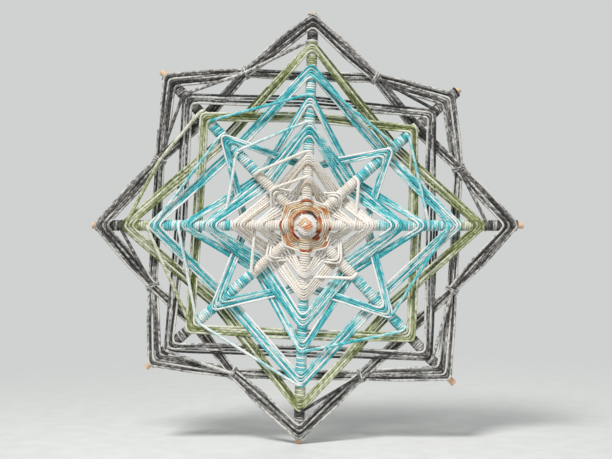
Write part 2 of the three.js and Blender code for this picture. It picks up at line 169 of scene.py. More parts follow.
class NodeTree:
    """Short ways to add and link nodes in one tree."""

    def __init__(self, tree: bpy.types.NodeTree) -> None:
        """Keeps the tree."""
        self.tree = tree

    @property
    def shader(self) -> bpy.types.Node:
        """The material's own Principled BSDF."""
        return self.tree.nodes["Principled BSDF"]

    def add(self, kind: str, **settings: object) -> bpy.types.Node:
        """Adds a node.

        Args:
            kind: the node's type name.
            settings: properties to set on it.

        Returns:
            The new node.
        """
        node = self.tree.nodes.new(kind)
        for name, value in settings.items():
            setattr(node, name, value)
        return node

    def group(self, group: bpy.types.NodeTree, **values: float) -> bpy.types.Node:
        """Places a node group with its own values.

        Args:
            group: the shader node group.
            values: numbers for its inputs.

        Returns:
            The group's node.
        """
        node = self.add("ShaderNodeGroup", node_tree=group)
        for name, value in values.items():
            node.inputs[name].default_value = value
        return node

    def link(self, source: bpy.types.Node, out: str | int, target: bpy.types.Node, into: str | int) -> None:
        """Links one node's output to another's input."""
        self.tree.links.new(source.outputs[out], target.inputs[into])

    def math(self, operation: str, first: tuple, second: tuple | float = 0.0) -> tuple:
        """Adds a Math node.

        Args:
            operation: the node's operation.
            first: node and output name.
            second: node and output name, or a number.

        Returns:
            The new node and the name of its output.
        """
        node = self.add("ShaderNodeMath", operation=operation)
        self.link(*first, node, 0)
        if isinstance(second, tuple):
            self.link(*second, node, 1)
        else:
            node.inputs[1].default_value = second
        return node, "Value"

    def scaled(self, value: tuple, factor: float, base: float) -> tuple:
        """Adds nodes that give a base and a value times a factor."""
        return self.math("ADD", self.math("MULTIPLY", value, factor), base)

    def noise(self, vector: tuple, scale: float, detail: float = 2.0, roughness: float = 0.5) -> tuple:
        """Adds a noise texture.

        Args:
            vector: node and output name of the place that it reads.
            scale: its scale.
            detail: how many finer layers it has.
            roughness: how strong they are.

        Returns:
            The new node and the name of its output.
        """
        node = self.add("ShaderNodeTexNoise")
        node.inputs["Scale"].default_value = scale
        node.inputs["Detail"].default_value = detail
        node.inputs["Roughness"].default_value = roughness
        self.link(*vector, node, "Vector")
        return node, "Fac"

    def ramp(self, value: tuple, stops: tuple[tuple[float, str], ...]) -> tuple:
        """Adds a colour ramp.

        Args:
            value: node and output name of what picks the colour.
            stops: places from 0 to 1 with written colours.

        Returns:
            The new node and the name of its output.
        """
        node = self.add("ShaderNodeValToRGB")
        elements = node.color_ramp.elements
        while len(elements) < len(stops):
            elements.new(0.5)
        for element, (at, code) in zip(elements, stops):
            element.position = at
            element.color = linear(code)
        self.link(*value, node, "Fac")
        return node, "Color"

    def bump(self, height: tuple, strength: float, distance: float) -> tuple:
        """Adds a bump.

        Args:
            height: node and output name of the relief.
            strength: how much of it shows.
            distance: its height in millimetres.

        Returns:
            The new node and the name of its output.
        """
        node = self.add("ShaderNodeBump")
        node.inputs["Strength"].default_value = strength
        node.inputs["Distance"].default_value = distance * MM
        self.link(*height, node, "Height")
        return node, "Normal"


class NodeGroups:
    """Node groups that the yarns share, each built once. A strand's UV runs along it and round it."""

    plies = 3
    streaks_round = 2.6
    streak_weight, fuzz_weight, streak_shift = 1.5, 0.5, 0.5
    streak_detail = 3.0
    fuzz_scale = 1900.0
    # Painted shade in the ply grooves: colour times groove_shadow there, rising by groove_lift over the ply
    # tops.
    groove_lift, groove_shadow = 0.2, 0.82
    dry_change, dry_base = 0.2, 0.76
    ply_relief, fibre_relief = 0.7, 0.5

    @staticmethod
    def start(name: str, takes: dict[str, str], gives: dict[str, str]) -> tuple:
        """Starts a group.

        Args:
            name: the group's name.
            takes: input names and their socket kinds.
            gives: output names and their socket kinds.

        Returns:
            The group, its tree, and its input and output nodes.
        """
        group = bpy.data.node_groups.new(name, "ShaderNodeTree")
        for way, sockets in (("INPUT", takes), ("OUTPUT", gives)):
            for key, kind in sockets.items():
                group.interface.new_socket(key, in_out=way, socket_type=f"NodeSocket{kind}")
        tree = NodeTree(group)
        return group, tree, tree.add("NodeGroupInput"), tree.add("NodeGroupOutput")

    @classmethod
    @cache
    def ply_twist(cls) -> bpy.types.NodeTree:
        """Three plies twisted round each other.

        Returns:
            The group, which gives the ply that is at the surface, and its height.
        """
        group, tree, taken, given = cls.start(
            "ply_twist", {"Strand": "Vector", "Turns": "Float"}, {"Mask": "Float", "Height": "Float"})
        split = tree.add("ShaderNodeSeparateXYZ")
        tree.link(taken, "Strand", split, 0)
        turned = tree.math("MULTIPLY", (split, "X"), (taken, "Turns"))
        phase = tree.math("ADD", turned, (split, "Y"))
        once = tree.math("SINE", tree.math("MULTIPLY", phase, 2 * math.pi))
        plied = tree.math("SINE", tree.math("MULTIPLY", phase, cls.plies * math.pi))
        tree.link(*tree.scaled(once, 0.5, 0.5), given, "Mask")
        tree.link(*tree.math("ABSOLUTE", plied), given, "Height")
        return group

    @classmethod
    @cache
    def fibre(cls) -> bpy.types.NodeTree:
        """Streaks of fibre along the strand, broken by finer fuzz.

        Returns:
            The group, which gives the streaks' strength.
        """
        group, tree, taken, given = cls.start(
            "fibre", {"Strand": "Vector", "Place": "Vector", "Flecks": "Float"}, {"Streak": "Float"})
        split = tree.add("ShaderNodeSeparateXYZ")
        tree.link(taken, "Strand", split, 0)
        stretch = tree.add("ShaderNodeCombineXYZ")
        tree.link(*tree.math("MULTIPLY", (split, "X"), (taken, "Flecks")), stretch, "X")
        tree.link(*tree.math("MULTIPLY", (split, "Y"), cls.streaks_round), stretch, "Y")
        streak = tree.noise((stretch, "Vector"), 1.0, cls.streak_detail)
        fuzz = tree.noise((taken, "Place"), cls.fuzz_scale)
        total = tree.math("ADD", tree.math("MULTIPLY", streak, cls.streak_weight),
                          tree.math("MULTIPLY", fuzz, cls.fuzz_weight))
        tree.link(*tree.math("SUBTRACT", total, cls.streak_shift), given, "Streak")
        return group

    @classmethod
    @cache
    def dye_mix(cls) -> bpy.types.NodeTree:
        """The strand's tint, moved by its plies and flecks.

        Returns:
            The group, which gives a point's place on the dye run.
        """
        group, tree, taken, given = cls.start(
            "dye_mix",
            {"Tint": "Float", "Ply": "Float", "Streak": "Float", "Marl": "Float", "Fleck": "Float"},
            {"Dye": "Float"})
        ply = tree.math("MULTIPLY", tree.math("SUBTRACT", (taken, "Ply"), 0.5), (taken, "Marl"))
        fleck = tree.math("MULTIPLY", tree.math("SUBTRACT", (taken, "Streak"), 0.5), (taken, "Fleck"))
        total = tree.math("ADD", (taken, "Tint"), tree.math("ADD", ply, fleck))
        tree.link(*total, given, "Dye")
        return group

    @classmethod
    @cache
    def painted_groove_shade(cls) -> bpy.types.NodeTree:
        """Painted shade: colour darkened in the grooves between plies, and a dry surface.

        Returns:
            The group, which gives the shaded colour, the roughness and the relief for a bump.
        """
        group, tree, taken, given = cls.start(
            "painted_groove_shade", {"Color": "Color", "Height": "Float", "Streak": "Float"},
            {"Color": "Color", "Roughness": "Float", "Relief": "Float"})
        # Painted shade: the colour is multiplied darker towards the grooves where the plies meet.
        level = tree.scaled((taken, "Height"), cls.groove_lift, cls.groove_shadow)
        shade = tree.add("ShaderNodeMix", data_type="RGBA", blend_type="MULTIPLY")
        shade.inputs["Factor"].default_value = 1.0
        grey = tree.add("ShaderNodeCombineColor")
        for channel in ("Red", "Green", "Blue"):
            tree.link(*level, grey, channel)
        first_colour, second_colour, mixed_colour = 6, 7, 2
        tree.link(taken, "Color", shade, first_colour)
        tree.link(grey, "Color", shade, second_colour)
        tree.link(shade, mixed_colour, given, "Color")
        tree.link(*tree.scaled((taken, "Streak"), cls.dry_change, cls.dry_base), given, "Roughness")
        relief = tree.math("ADD", tree.math("MULTIPLY", (taken, "Height"), cls.ply_relief),
                           tree.math("MULTIPLY", (taken, "Streak"), cls.fibre_relief))
        tree.link(*relief, given, "Relief")
        return group


@dataclass(frozen=True)
class YarnFinish:
    """A dyed yarn: the colours of its dye run, how thick it is and how it is twisted.

    Marl is how far the plies, and fleck how far the fibres, move a point along the dye run. Flecks
    and twist are the streaks of fibre and the turns of the plies in a centimetre.
    """

    slot: Slot
    dyes: tuple[tuple[float, str], ...]
    marl: float
    fleck: float
    diameter: float
    flecks: float = 7.0
    twist: float = 1.9
    bump: float = 0.45
    relief: float = 0.35
    sheen: float = 0.12
    sheen_roughness: float = 0.55
    specular: float = 0.22

    @cache
    def material(self) -> bpy.types.Material:
        """Builds the yarn's material once.

        Returns:
            The material.
        """
        made = bpy.data.materials.new(self.slot.value)
        made.use_nodes = True
        tree = NodeTree(made.node_tree)
        strand = tree.add("ShaderNodeUVMap", uv_map="strand")
        place = tree.add("ShaderNodeTexCoord")
        tint = tree.add("ShaderNodeAttribute", attribute_name="tint")
        twist = tree.group(NodeGroups.ply_twist(), Turns=self.twist)
        fibre = tree.group(NodeGroups.fibre(), Flecks=self.flecks)
        tree.link(strand, "UV", twist, "Strand")
        tree.link(strand, "UV", fibre, "Strand")
        tree.link(place, "Object", fibre, "Place")
        dye = tree.group(NodeGroups.dye_mix(), Marl=self.marl, Fleck=self.fleck)
        tree.link(tint, "Fac", dye, "Tint")
        tree.link(twist, "Mask", dye, "Ply")
        tree.link(fibre, "Streak", dye, "Streak")
        # The yarn's colour gets painted shade in the grooves between its plies.
        shade = tree.group(NodeGroups.painted_groove_shade())
        tree.link(*tree.ramp((dye, "Dye"), self.dyes), shade, "Color")
        tree.link(twist, "Height", shade, "Height")
        tree.link(fibre, "Streak", shade, "Streak")
        shader = tree.shader
        shader.inputs["Sheen Weight"].default_value = self.sheen
        shader.inputs["Sheen Roughness"].default_value = self.sheen_roughness
        shader.inputs["Specular IOR Level"].default_value = self.specular
        tree.link(shade, "Color", shader, "Base Color")
        tree.link(shade, "Roughness", shader, "Roughness")
        tree.link(*tree.bump((shade, "Relief"), self.bump, self.relief), shader, "Normal")
        return made


@dataclass(frozen=True)
class WoodFinish:
    """Bare beech dowel with a fine straight grain."""

    slot: Slot = Slot.WOOD
    grain: tuple[tuple[float, str], ...] = ((0.3, "c39670"), (0.72, "e9cdb0"))
    stretch: tuple[float, float, float] = (26.0, 5.0, 1.0)
    scale: float = 2.0
    detail: float = 6.0
    coarseness: float = 0.65
    bump: float = 0.25
    relief: float = 0.2
    roughness: float = 0.5
    dryness: float = 0.25

    @cache
    def material(self) -> bpy.types.Material:
        """Builds the wood's material once.

        Returns:
            The material.
        """
        made = bpy.data.materials.new("bare_dowel")
        made.use_nodes = True
        tree = NodeTree(made.node_tree)
        along = tree.add("ShaderNodeUVMap", uv_map="UVMap")
        stretch = tree.add("ShaderNodeMapping")
        stretch.inputs["Scale"].default_value = self.stretch
        tree.link(along, "UV", stretch, "Vector")
        grain = tree.noise((stretch, "Vector"), self.scale, self.detail, self.coarseness)
        tree.link(*tree.ramp(grain, self.grain), tree.shader, "Base Color")
        tree.link(*tree.scaled(grain, self.dryness, self.roughness), tree.shader, "Roughness")
        tree.link(*tree.bump(grain, self.bump, self.relief), tree.shader, "Normal")
        return made


FINISHES = {
    Slot.WHITE: YarnFinish(
        Slot.WHITE,
        ((0.0, "e27a44"), (0.2, "f0ca98"), (0.42, "d8cbbb"), (0.7, "dfd9d0"), (1.0, "edeae4")),
        marl=0.06, fleck=0.3, diameter=1.56),
    Slot.ORANGE: YarnFinish(
        Slot.ORANGE,
        # The near-black first stop serves charcoal yarn, and painted shadow where the flower's first round
        # lies in the recess round the eye.
        ((0.0, "3a3836"), (0.14, "6f2f1e"), (0.3, "ba5a30"), (0.46, "cd9062"), (0.62, "cdb48c"),
         (0.8, "ddd2c1"), (1.0, "eeeae2")),
        marl=0.08, fleck=0.24, diameter=1.48),
    Slot.CREAM: YarnFinish(
        Slot.CREAM,
        ((0.0, "a49276"), (0.35, "cbbda8"), (0.65, "ddd5c8"), (1.0, "ece8e1")),
        marl=0.08, fleck=0.5, diameter=1.64, flecks=4.0),
    Slot.TURQUOISE: YarnFinish(
        Slot.TURQUOISE,
        ((0.0, "2897a1"), (0.28, "47b7bf"), (0.5, "73c7ca"), (0.76, "c7dedc"), (1.0, "ebe9e6")),
        marl=0.1, fleck=1.3, diameter=1.5, flecks=2.0),
    Slot.GREEN: YarnFinish(
        Slot.GREEN,
        ((0.0, "4b532c"), (0.33, "7b854e"), (0.64, "abb187"), (1.0, "dcdbca")),
        marl=0.12, fleck=1.1, diameter=1.74, flecks=2.8),
    Slot.GREY: YarnFinish(
        Slot.GREY,
        ((0.0, "242322"), (0.28, "434240"), (0.54, "706e6b"), (0.8, "adaba6"), (1.0, "d3d1cb")),
        marl=0.12, fleck=1.1, diameter=1.66, flecks=3.6),
}


def dress(made: bpy.types.Object, finish: YarnFinish | WoodFinish, node: str) -> None:
    """Gives a piece its finish and ties it to the part.

    Args:
        made: the piece.
        finish: its finish, which names its slot.
        node: the solid that it stands for.
    """
    made.data.materials.clear()
    made.data.materials.append(finish.material())
    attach(made, "root")
    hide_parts(node)
    LOG.info("%s: %d faces", made.name, len(made.data.polygons))


@dataclass
class Strand:
    """One run of yarn: its line, its tint along the line, its radius and a direction across it."""

    points: np.ndarray
    tint: np.ndarray
    radius: float = YARN_DIAMETER / 2
    across: tuple[float, float, float] = FRONTAL


class YarnShop:
    """Turns lines into yarn: rounds bends, spaces the points evenly and makes the meshes."""

    bend_limit = 0.48
    bend_points = 6

    @classmethod
    def rounded(cls, knots: list[np.ndarray], reach: float) -> np.ndarray:
        """Rounds the bends of a broken line.

        Args:
            knots: the line's points.
            reach: how far from a bend its rounding starts.

        Returns:
            The rounded line's points.
        """
        line = [knots[0]]
        for before, here, after in zip(knots, knots[1:], knots[2:]):
            start, end = [
                here + side * min(cls.bend_limit, reach / max(np.linalg.norm(side), TINY))
                for side in (before - here, after - here)]
            for share in np.linspace(0, 1, cls.bend_points):
                line.append((1 - share) ** 2 * start + 2 * share * (1 - share) * here + share ** 2 * end)
        line.append(knots[-1])
        return np.array(line)

    @staticmethod
    def travelled(line: np.ndarray) -> np.ndarray:
        """How far along a line each of its points lies."""
        return np.concatenate([[0], np.cumsum(np.linalg.norm(np.diff(line, axis=0), axis=1))])

    @classmethod
    def spaced(cls, line: np.ndarray, step: float) -> tuple[np.ndarray, np.ndarray]:
        """Spaces points evenly along a line.

        Args:
            line: the line's points.
            step: about how far apart the new points lie.

        Returns:
            The new points, and how far along the line each one lies.
        """
        gaps = np.linalg.norm(np.diff(line, axis=0), axis=1)
        line = line[np.concatenate([[True], gaps > TINY])]
        along = cls.travelled(line)
        count = max(3, int(round(along[-1] / step)) + 1)
        at = np.linspace(0, along[-1], count)
        return np.column_stack([np.interp(at, along, line[:, axis]) for axis in range(3)]), at

    @classmethod
    def mesh(cls, name: str, strands: list[Strand]) -> bpy.types.Object:
        """Makes one mesh of several strands, with strand UVs and a tint attribute.

        Args:
            name: the object's name.
            strands: the runs of yarn.

        Returns:
            The object, with its place in its mesh.
        """
        spots, corners, totals, uvs, tints = [], [], [], [], []
        base, sides = 0, YARN_SIDES
        for number, strand in enumerate(strands):
            count = len(strand.points)
            ahead = np.gradient(strand.points, axis=0)
            ahead /= np.linalg.norm(ahead, axis=1)[:, None]
            across = np.array(strand.across)
            out = across - (across * ahead).sum(1)[:, None] * ahead
            out /= np.linalg.norm(out, axis=1)[:, None]
            aside = np.cross(ahead, out)
            angles = 2 * np.pi * np.arange(sides) / sides
            ring = (np.cos(angles)[None, :, None] * out[:, None, :]
                    + np.sin(angles)[None, :, None] * aside[:, None, :])
            spots.append((strand.points[:, None, :] + strand.radius * ring).reshape(-1, 3))
            tints.append(np.repeat(strand.tint, sides))
            steps, side = np.meshgrid(np.arange(count - 1), np.arange(sides), indexing="ij")
            beside = (side + 1) % sides
            quads = np.stack([steps * sides + side, steps * sides + beside,
                              (steps + 1) * sides + beside, (steps + 1) * sides + side], axis=-1)
            corners.append(quads.reshape(-1) + base)
            totals.append(np.full(quads.shape[0] * quads.shape[1], 4))
            along = cls.travelled(strand.points) / CENTIMETRE + FLECK_SHIFT * (number + 1)
            u = np.stack([along[steps], along[steps], along[steps + 1], along[steps + 1]], axis=-1)
            v = np.stack([side, side + 1, side + 1, side], axis=-1) / sides
            uvs.append(np.stack([u, v], axis=-1).reshape(-1, 2))
            for end, way in ((0, -1), ((count - 1) * sides, 1)):
                corners.append(np.arange(sides)[::way] + end + base)
                totals.append(np.array([sides]))
                uvs.append(np.zeros((sides, 2)))
            base += count * sides
        return cls.object_from(name, np.concatenate(spots) * MM, np.concatenate(corners),
                               np.concatenate(totals), np.concatenate(uvs), np.concatenate(tints))

    @staticmethod
    def object_from(name: str, spots: np.ndarray, corners: np.ndarray, totals: np.ndarray,
                    uvs: np.ndarray, tints: np.ndarray) -> bpy.types.Object:
        """Makes a mesh object from arrays.

        Args:
            name: the object's name.
            spots: vertex places in metres.
            corners: vertex numbers of all face corners.
            totals: corners of each face.
            uvs: strand coordinates of the face corners.
            tints: tint of each vertex.

        Returns:
            The object, linked to the scene.
        """
        mesh = bpy.data.meshes.new(name)
        mesh.vertices.add(len(spots))
        mesh.vertices.foreach_set("co", spots.astype(np.float32).ravel())
        mesh.loops.add(len(corners))
        mesh.loops.foreach_set("vertex_index", corners.astype(np.int32))
        mesh.polygons.add(len(totals))
        starts = np.concatenate([[0], np.cumsum(totals)[:-1]])
        mesh.polygons.foreach_set("loop_start", starts.astype(np.int32))
        layer = mesh.uv_layers.new(name="strand")
        layer.data.foreach_set("uv", uvs.astype(np.float32).ravel())
        tint = mesh.attributes.new("tint", "FLOAT", "POINT")
        tint.data.foreach_set("value", tints.astype(np.float32))
        mesh.update(calc_edges=True)
        mesh.validate()
        mesh.polygons.foreach_set("use_smooth", np.ones(len(mesh.polygons), bool))
        made = bpy.data.objects.new(name, mesh)
        bpy.context.scene.collection.objects.link(made)
        return made


@dataclass(frozen=True)
class Spoke:
    """One arm of a stick, from the hub outwards, and where each wrapped colour ends along it."""

    name: str
    angle: float
    cross: Cross
    yarn_reach: float
    cream_end: float
    turquoise_end: float
    green_end: float

    def runs(self) -> dict[Slot, tuple[float, float]]:
        """Shares the spoke out among the colours of wrapped yarn.

        Returns:
            Where each colour starts and ends along the spoke.
        """
        marks = [WRAP_START, self.cream_end, self.turquoise_end, self.green_end, self.yarn_reach]
        slots = [Slot.CREAM, Slot.TURQUOISE, Slot.GREEN, Slot.GREY]
        return {slot: (low, high) for slot, low, high in zip(slots, marks, marks[1:])}

    def at(self, along: float, aside: float, depth: float) -> np.ndarray:
        """A point beside the spoke: along it, across it in plan, and at a depth."""
        return spot(plan(self.angle, along) + plan(self.angle + 90, aside), depth)


SPOKES = (
    Spoke("right", 0.0, Cross.FRONT, 147.9, 49.8, 108.8, 125.6),
    Spoke("upper_right", 41.6, Cross.BACK, 142.2, 49.2, 96.4, 104.2),
    Spoke("top", 88.0, Cross.FRONT, 147.6, 51.2, 111.4, 128.0),
    Spoke("upper_left", 133.1, Cross.BACK, 144.6, 50.4, 97.6, 107.2),
    Spoke("left", 180.0, Cross.FRONT, 147.0, 51.6, 108.8, 128.4),
    Spoke("lower_left", 221.6, Cross.BACK, 146.6, 50.4, 101.0, 111.2),
    Spoke("bottom", 268.0, Cross.FRONT, 148.6, 51.6, 111.4, 128.6),
    Spoke("lower_right", 313.1, Cross.BACK, 146.6, 50.4, 99.0, 109.2),
)


def spokes_of(cross: Cross) -> list[Spoke]:
    """The four spokes of a cross, turning from the right."""
    return [spoke for spoke in SPOKES if spoke.cross is cross]


def spoke_named(name: str) -> Spoke:
    """The spoke with a name."""
    return next(spoke for spoke in SPOKES if spoke.name == name)


@dataclass(frozen=True)
class Tie:
    """A lashing where the two outermost bands cross: its direction and its distance from the hub."""

    name: str
    angle: float
    radius: float


TIES = (
    Tie("tie_right_upper_right", 20.5, 114.7),
    Tie("tie_upper_right_top", 64.9, 114.8),
    Tie("tie_top_upper_left", 111.5, 115.5),
    Tie("tie_upper_left_left", 155.9, 112.6),
    Tie("tie_left_lower_left", 201.4, 116.0),
    Tie("tie_lower_left_bottom", 243.7, 116.0),
    Tie("tie_bottom_lower_right", 289.9, 112.4),
    Tie("tie_lower_right_right", 336.2, 112.4),
)


@dataclass
class Band:
    """One yarn wound round the four spokes of a cross.

    Edges are the inner and outer radius on each spoke, turning from the right. The waist is the
    inner and outer radius where the sides pass behind the other cross, if they don't run straight.
    Tints are the strands' places on the dye run, from the inside out, and sway how far the tint
    changes along a strand, over runs of about the length that run gives. Seed picks where along the
    yarn the tint runs light or dark; the seeds give each band a tone by direction that is partly its
    own variegated dye and partly painted light and shade. Bow is how far the rounds of a tied band
    still lie apart on their way to the tie.
    """

    name: str
    cross: Cross
    slot: Slot
    edges: tuple[tuple[float, float], ...]
    tints: tuple[float, ...]
    waist: tuple[float, float] | None = None
    tied: bool = False
    bow: float = 0.0
    sway: float = 0.16
    run: float = 36.0
    # Seed: where the tint sways light or dark along the band; partly variegated dye, partly painted light
    # and shade on parts of the band.
    seed: int = 1
    strands: list[Strand] = field(default_factory=list)

    @property
    def rounds(self) -> int:
        """How many times the yarn goes round."""
        return len(self.tints)

    def own_spoke(self, index: int) -> Spoke:
        """The spoke that a corner passes over."""
        return spokes_of(self.cross)[index % CORNERS]

    def other_spoke(self, index: int) -> Spoke:
        """The spoke of the other cross between a corner and the next one."""
        shift = 0 if self.cross is Cross.FRONT else 1
        return spokes_of(self.cross.other)[(index + shift) % CORNERS]

    def corner(self, index: int) -> np.ndarray:
        """Plan point of a corner.

        Args:
            index: which corner along the winding, four a round.

        Returns:
            The point where the yarn passes over its own spoke.
        """
        inner, outer = self.edges[index % CORNERS]
        share = (index / CORNERS + CORNER_SHARE) / self.rounds
        return plan(self.own_spoke(index).angle, inner + (outer - inner) * share)

    def middle(self, index: int, stray: float) -> np.ndarray:
        """Plan point behind the other cross, half way along a side.

        Args:
            index: the corner before it.
            stray: how far this pass strays outwards.

        Returns:
            The point.
        """
        spoke = self.other_spoke(index)
        if self.waist:
            share = (index / CORNERS + WAIST_SHARE) / self.rounds
            return plan(spoke.angle, self.waist[0] + (self.waist[1] - self.waist[0]) * share + stray)
        start, end = self.corner(index), self.corner(index + 1)
        ray, along = plan(spoke.angle, 1), end - start
        share = -(start[0] * ray[1] - start[1] * ray[0]) / (along[0] * ray[1] - along[1] * ray[0])
        return start + along * share + ray * stray

    def gather(self, index: int, half: int, shoulder: np.ndarray) -> list[np.ndarray]:
        """Plan points where a side still lies spread and where its tie gathers it.

        Args:
            index: the corner.
            half: -1 for the side before the corner, 1 for the side after it.
            shoulder: the point beside the spoke.

        Returns:
            The two points, from the shoulder on.
        """
        own = SPOKES.index(self.own_spoke(index))
        tie = TIES[own if half > 0 else (own - 1) % len(TIES)]
        place = index // CORNERS - (self.rounds - 1) / 2
        gathered = plan(tie.angle, tie.radius + place * TIE_STEP)
        along = gathered - shoulder
        out = np.array([-along[1], along[0]]) / np.linalg.norm(along)
        spread = place * self.bow
        return [shoulder + SPREAD_AT * along + out * math.copysign(1, out @ shoulder) * spread, gathered]

    def route(self, index: int, half: int, stray: np.ndarray) -> list[np.ndarray]:
        """Plan points of half a side, from beside its own spoke to behind the other cross.

        Args:
            index: the corner.
            half: -1 for the side before the corner, 1 for the side after it.
            stray: how far each pass of the band strays outwards.

        Returns:
            The points, from the shoulder on.
        """
        side = index if half > 0 else index - 1
        shoulder = self.corner(index) + plan(self.own_spoke(index).angle + 90, half * SHOULDER)
        tied = self.gather(index, half, shoulder) if self.tied else []
        return [shoulder, *tied, self.middle(side, stray[side + 1])]


BANDS = (
    Band("cream_inner_diamond", Cross.FRONT, Slot.CREAM,
         ((28.4, 34.6), (29.0, 34.4), (28.6, 34.8), (29.4, 35.4)), (0.46, 0.66, 0.8, 0.95),
         waist=(13.6, 24.6), sway=0.24, seed=492),
    Band("cream_square", Cross.BACK, Slot.CREAM,
         ((28.6, 33.6), (29.2, 35.0), (29.4, 35.4), (28.6, 33.8)), (0.95, 0.98), sway=0.06),
    Band("cream_outer_diamond", Cross.FRONT, Slot.CREAM,
         ((40.4, 49.0), (41.8, 50.4), (41.3, 51.0), (41.3, 51.0)), (0.52, 0.86, 0.66, 0.9, 0.97),
         waist=(25.8, 34.8), sway=0.26, seed=4004),
    Band("turquoise_inner_diamond", Cross.FRONT, Slot.TURQUOISE,
         ((58.4, 68.8), (60.8, 71.2), (60.4, 71.0), (59.3, 70.4)), (0.84, 0.36, 0.7, 0.34, 0.62, 0.4),
         waist=(35.4, 47.2), sway=0.36, run=19.0, seed=4827),
    Band("turquoise_diagonal_star", Cross.BACK, Slot.TURQUOISE,
         ((70.4, 80.6), (76.8, 85.6), (71.5, 87.2), (74.0, 86.2)), (0.74, 0.4, 0.34, 0.76),
         waist=(38.4, 44.8), sway=0.36, run=19.0, seed=481),
    Band("turquoise_upright_star", Cross.FRONT, Slot.TURQUOISE,
         ((77.0, 84.2), (82.4, 90.4), (78.4, 85.6), (78.4, 87.6)), (0.8, 0.42, 0.62, 0.3),
         waist=(43.6, 49.2), sway=0.36, run=19.0, seed=409),
    Band("turquoise_outer_diamond", Cross.FRONT, Slot.TURQUOISE,
         ((97.3, 108.6), (101.5, 111.4), (99.4, 108.8), (100.1, 111.4)), (0.86, 0.44, 0.4, 0.66, 0.52),
         sway=0.38, run=19.0, seed=4150),
    Band("green_square", Cross.BACK, Slot.GREEN,
         ((96.6, 103.2), (98.0, 106.6), (101.5, 110.8), (99.4, 108.7)), (0.86, 0.62, 0.34, 0.6),
         waist=(72.4, 80.0), sway=0.34, run=22.0, seed=3302),
    Band("green_diamond", Cross.FRONT, Slot.GREEN,
         ((115.5, 124.8), (120.2, 127.6), (117.6, 128.2), (119.7, 128.3)), (0.6, 0.34, 0.7, 0.36),
         waist=(79.0, 87.4), sway=0.34, run=22.0, seed=5935),
    Band("grey_inner_square", Cross.BACK, Slot.GREY,
         ((112.0, 120.6), (114.1, 124.6), (120.4, 130.6), (117.6, 126.4)), (0.9, 0.28, 0.7, 0.28),
         waist=(83.0, 92.0), sway=0.24, run=14.0, seed=2660),
    Band("grey_diamond", Cross.FRONT, Slot.GREY,
         ((136.2, 147.4), (135.8, 147.2), (135.6, 146.4), (136.4, 147.8)),
         (0.88, 0.26, 0.68, 0.26, 0.5, 0.92),
         waist=(99.8, 108.2), tied=True, bow=0.5, sway=0.24, run=14.0, seed=1159),
    Band("grey_outer_square", Cross.BACK, Slot.GREY,
         ((126.4, 138.6), (131.4, 144.0), (133.5, 146.0), (131.4, 145.8)),
         (0.9, 0.26, 0.56, 0.86, 0.26, 0.86),
         waist=(102.0, 108.2), tied=True, bow=0.28, sway=0.24, run=14.0, seed=6016),
)


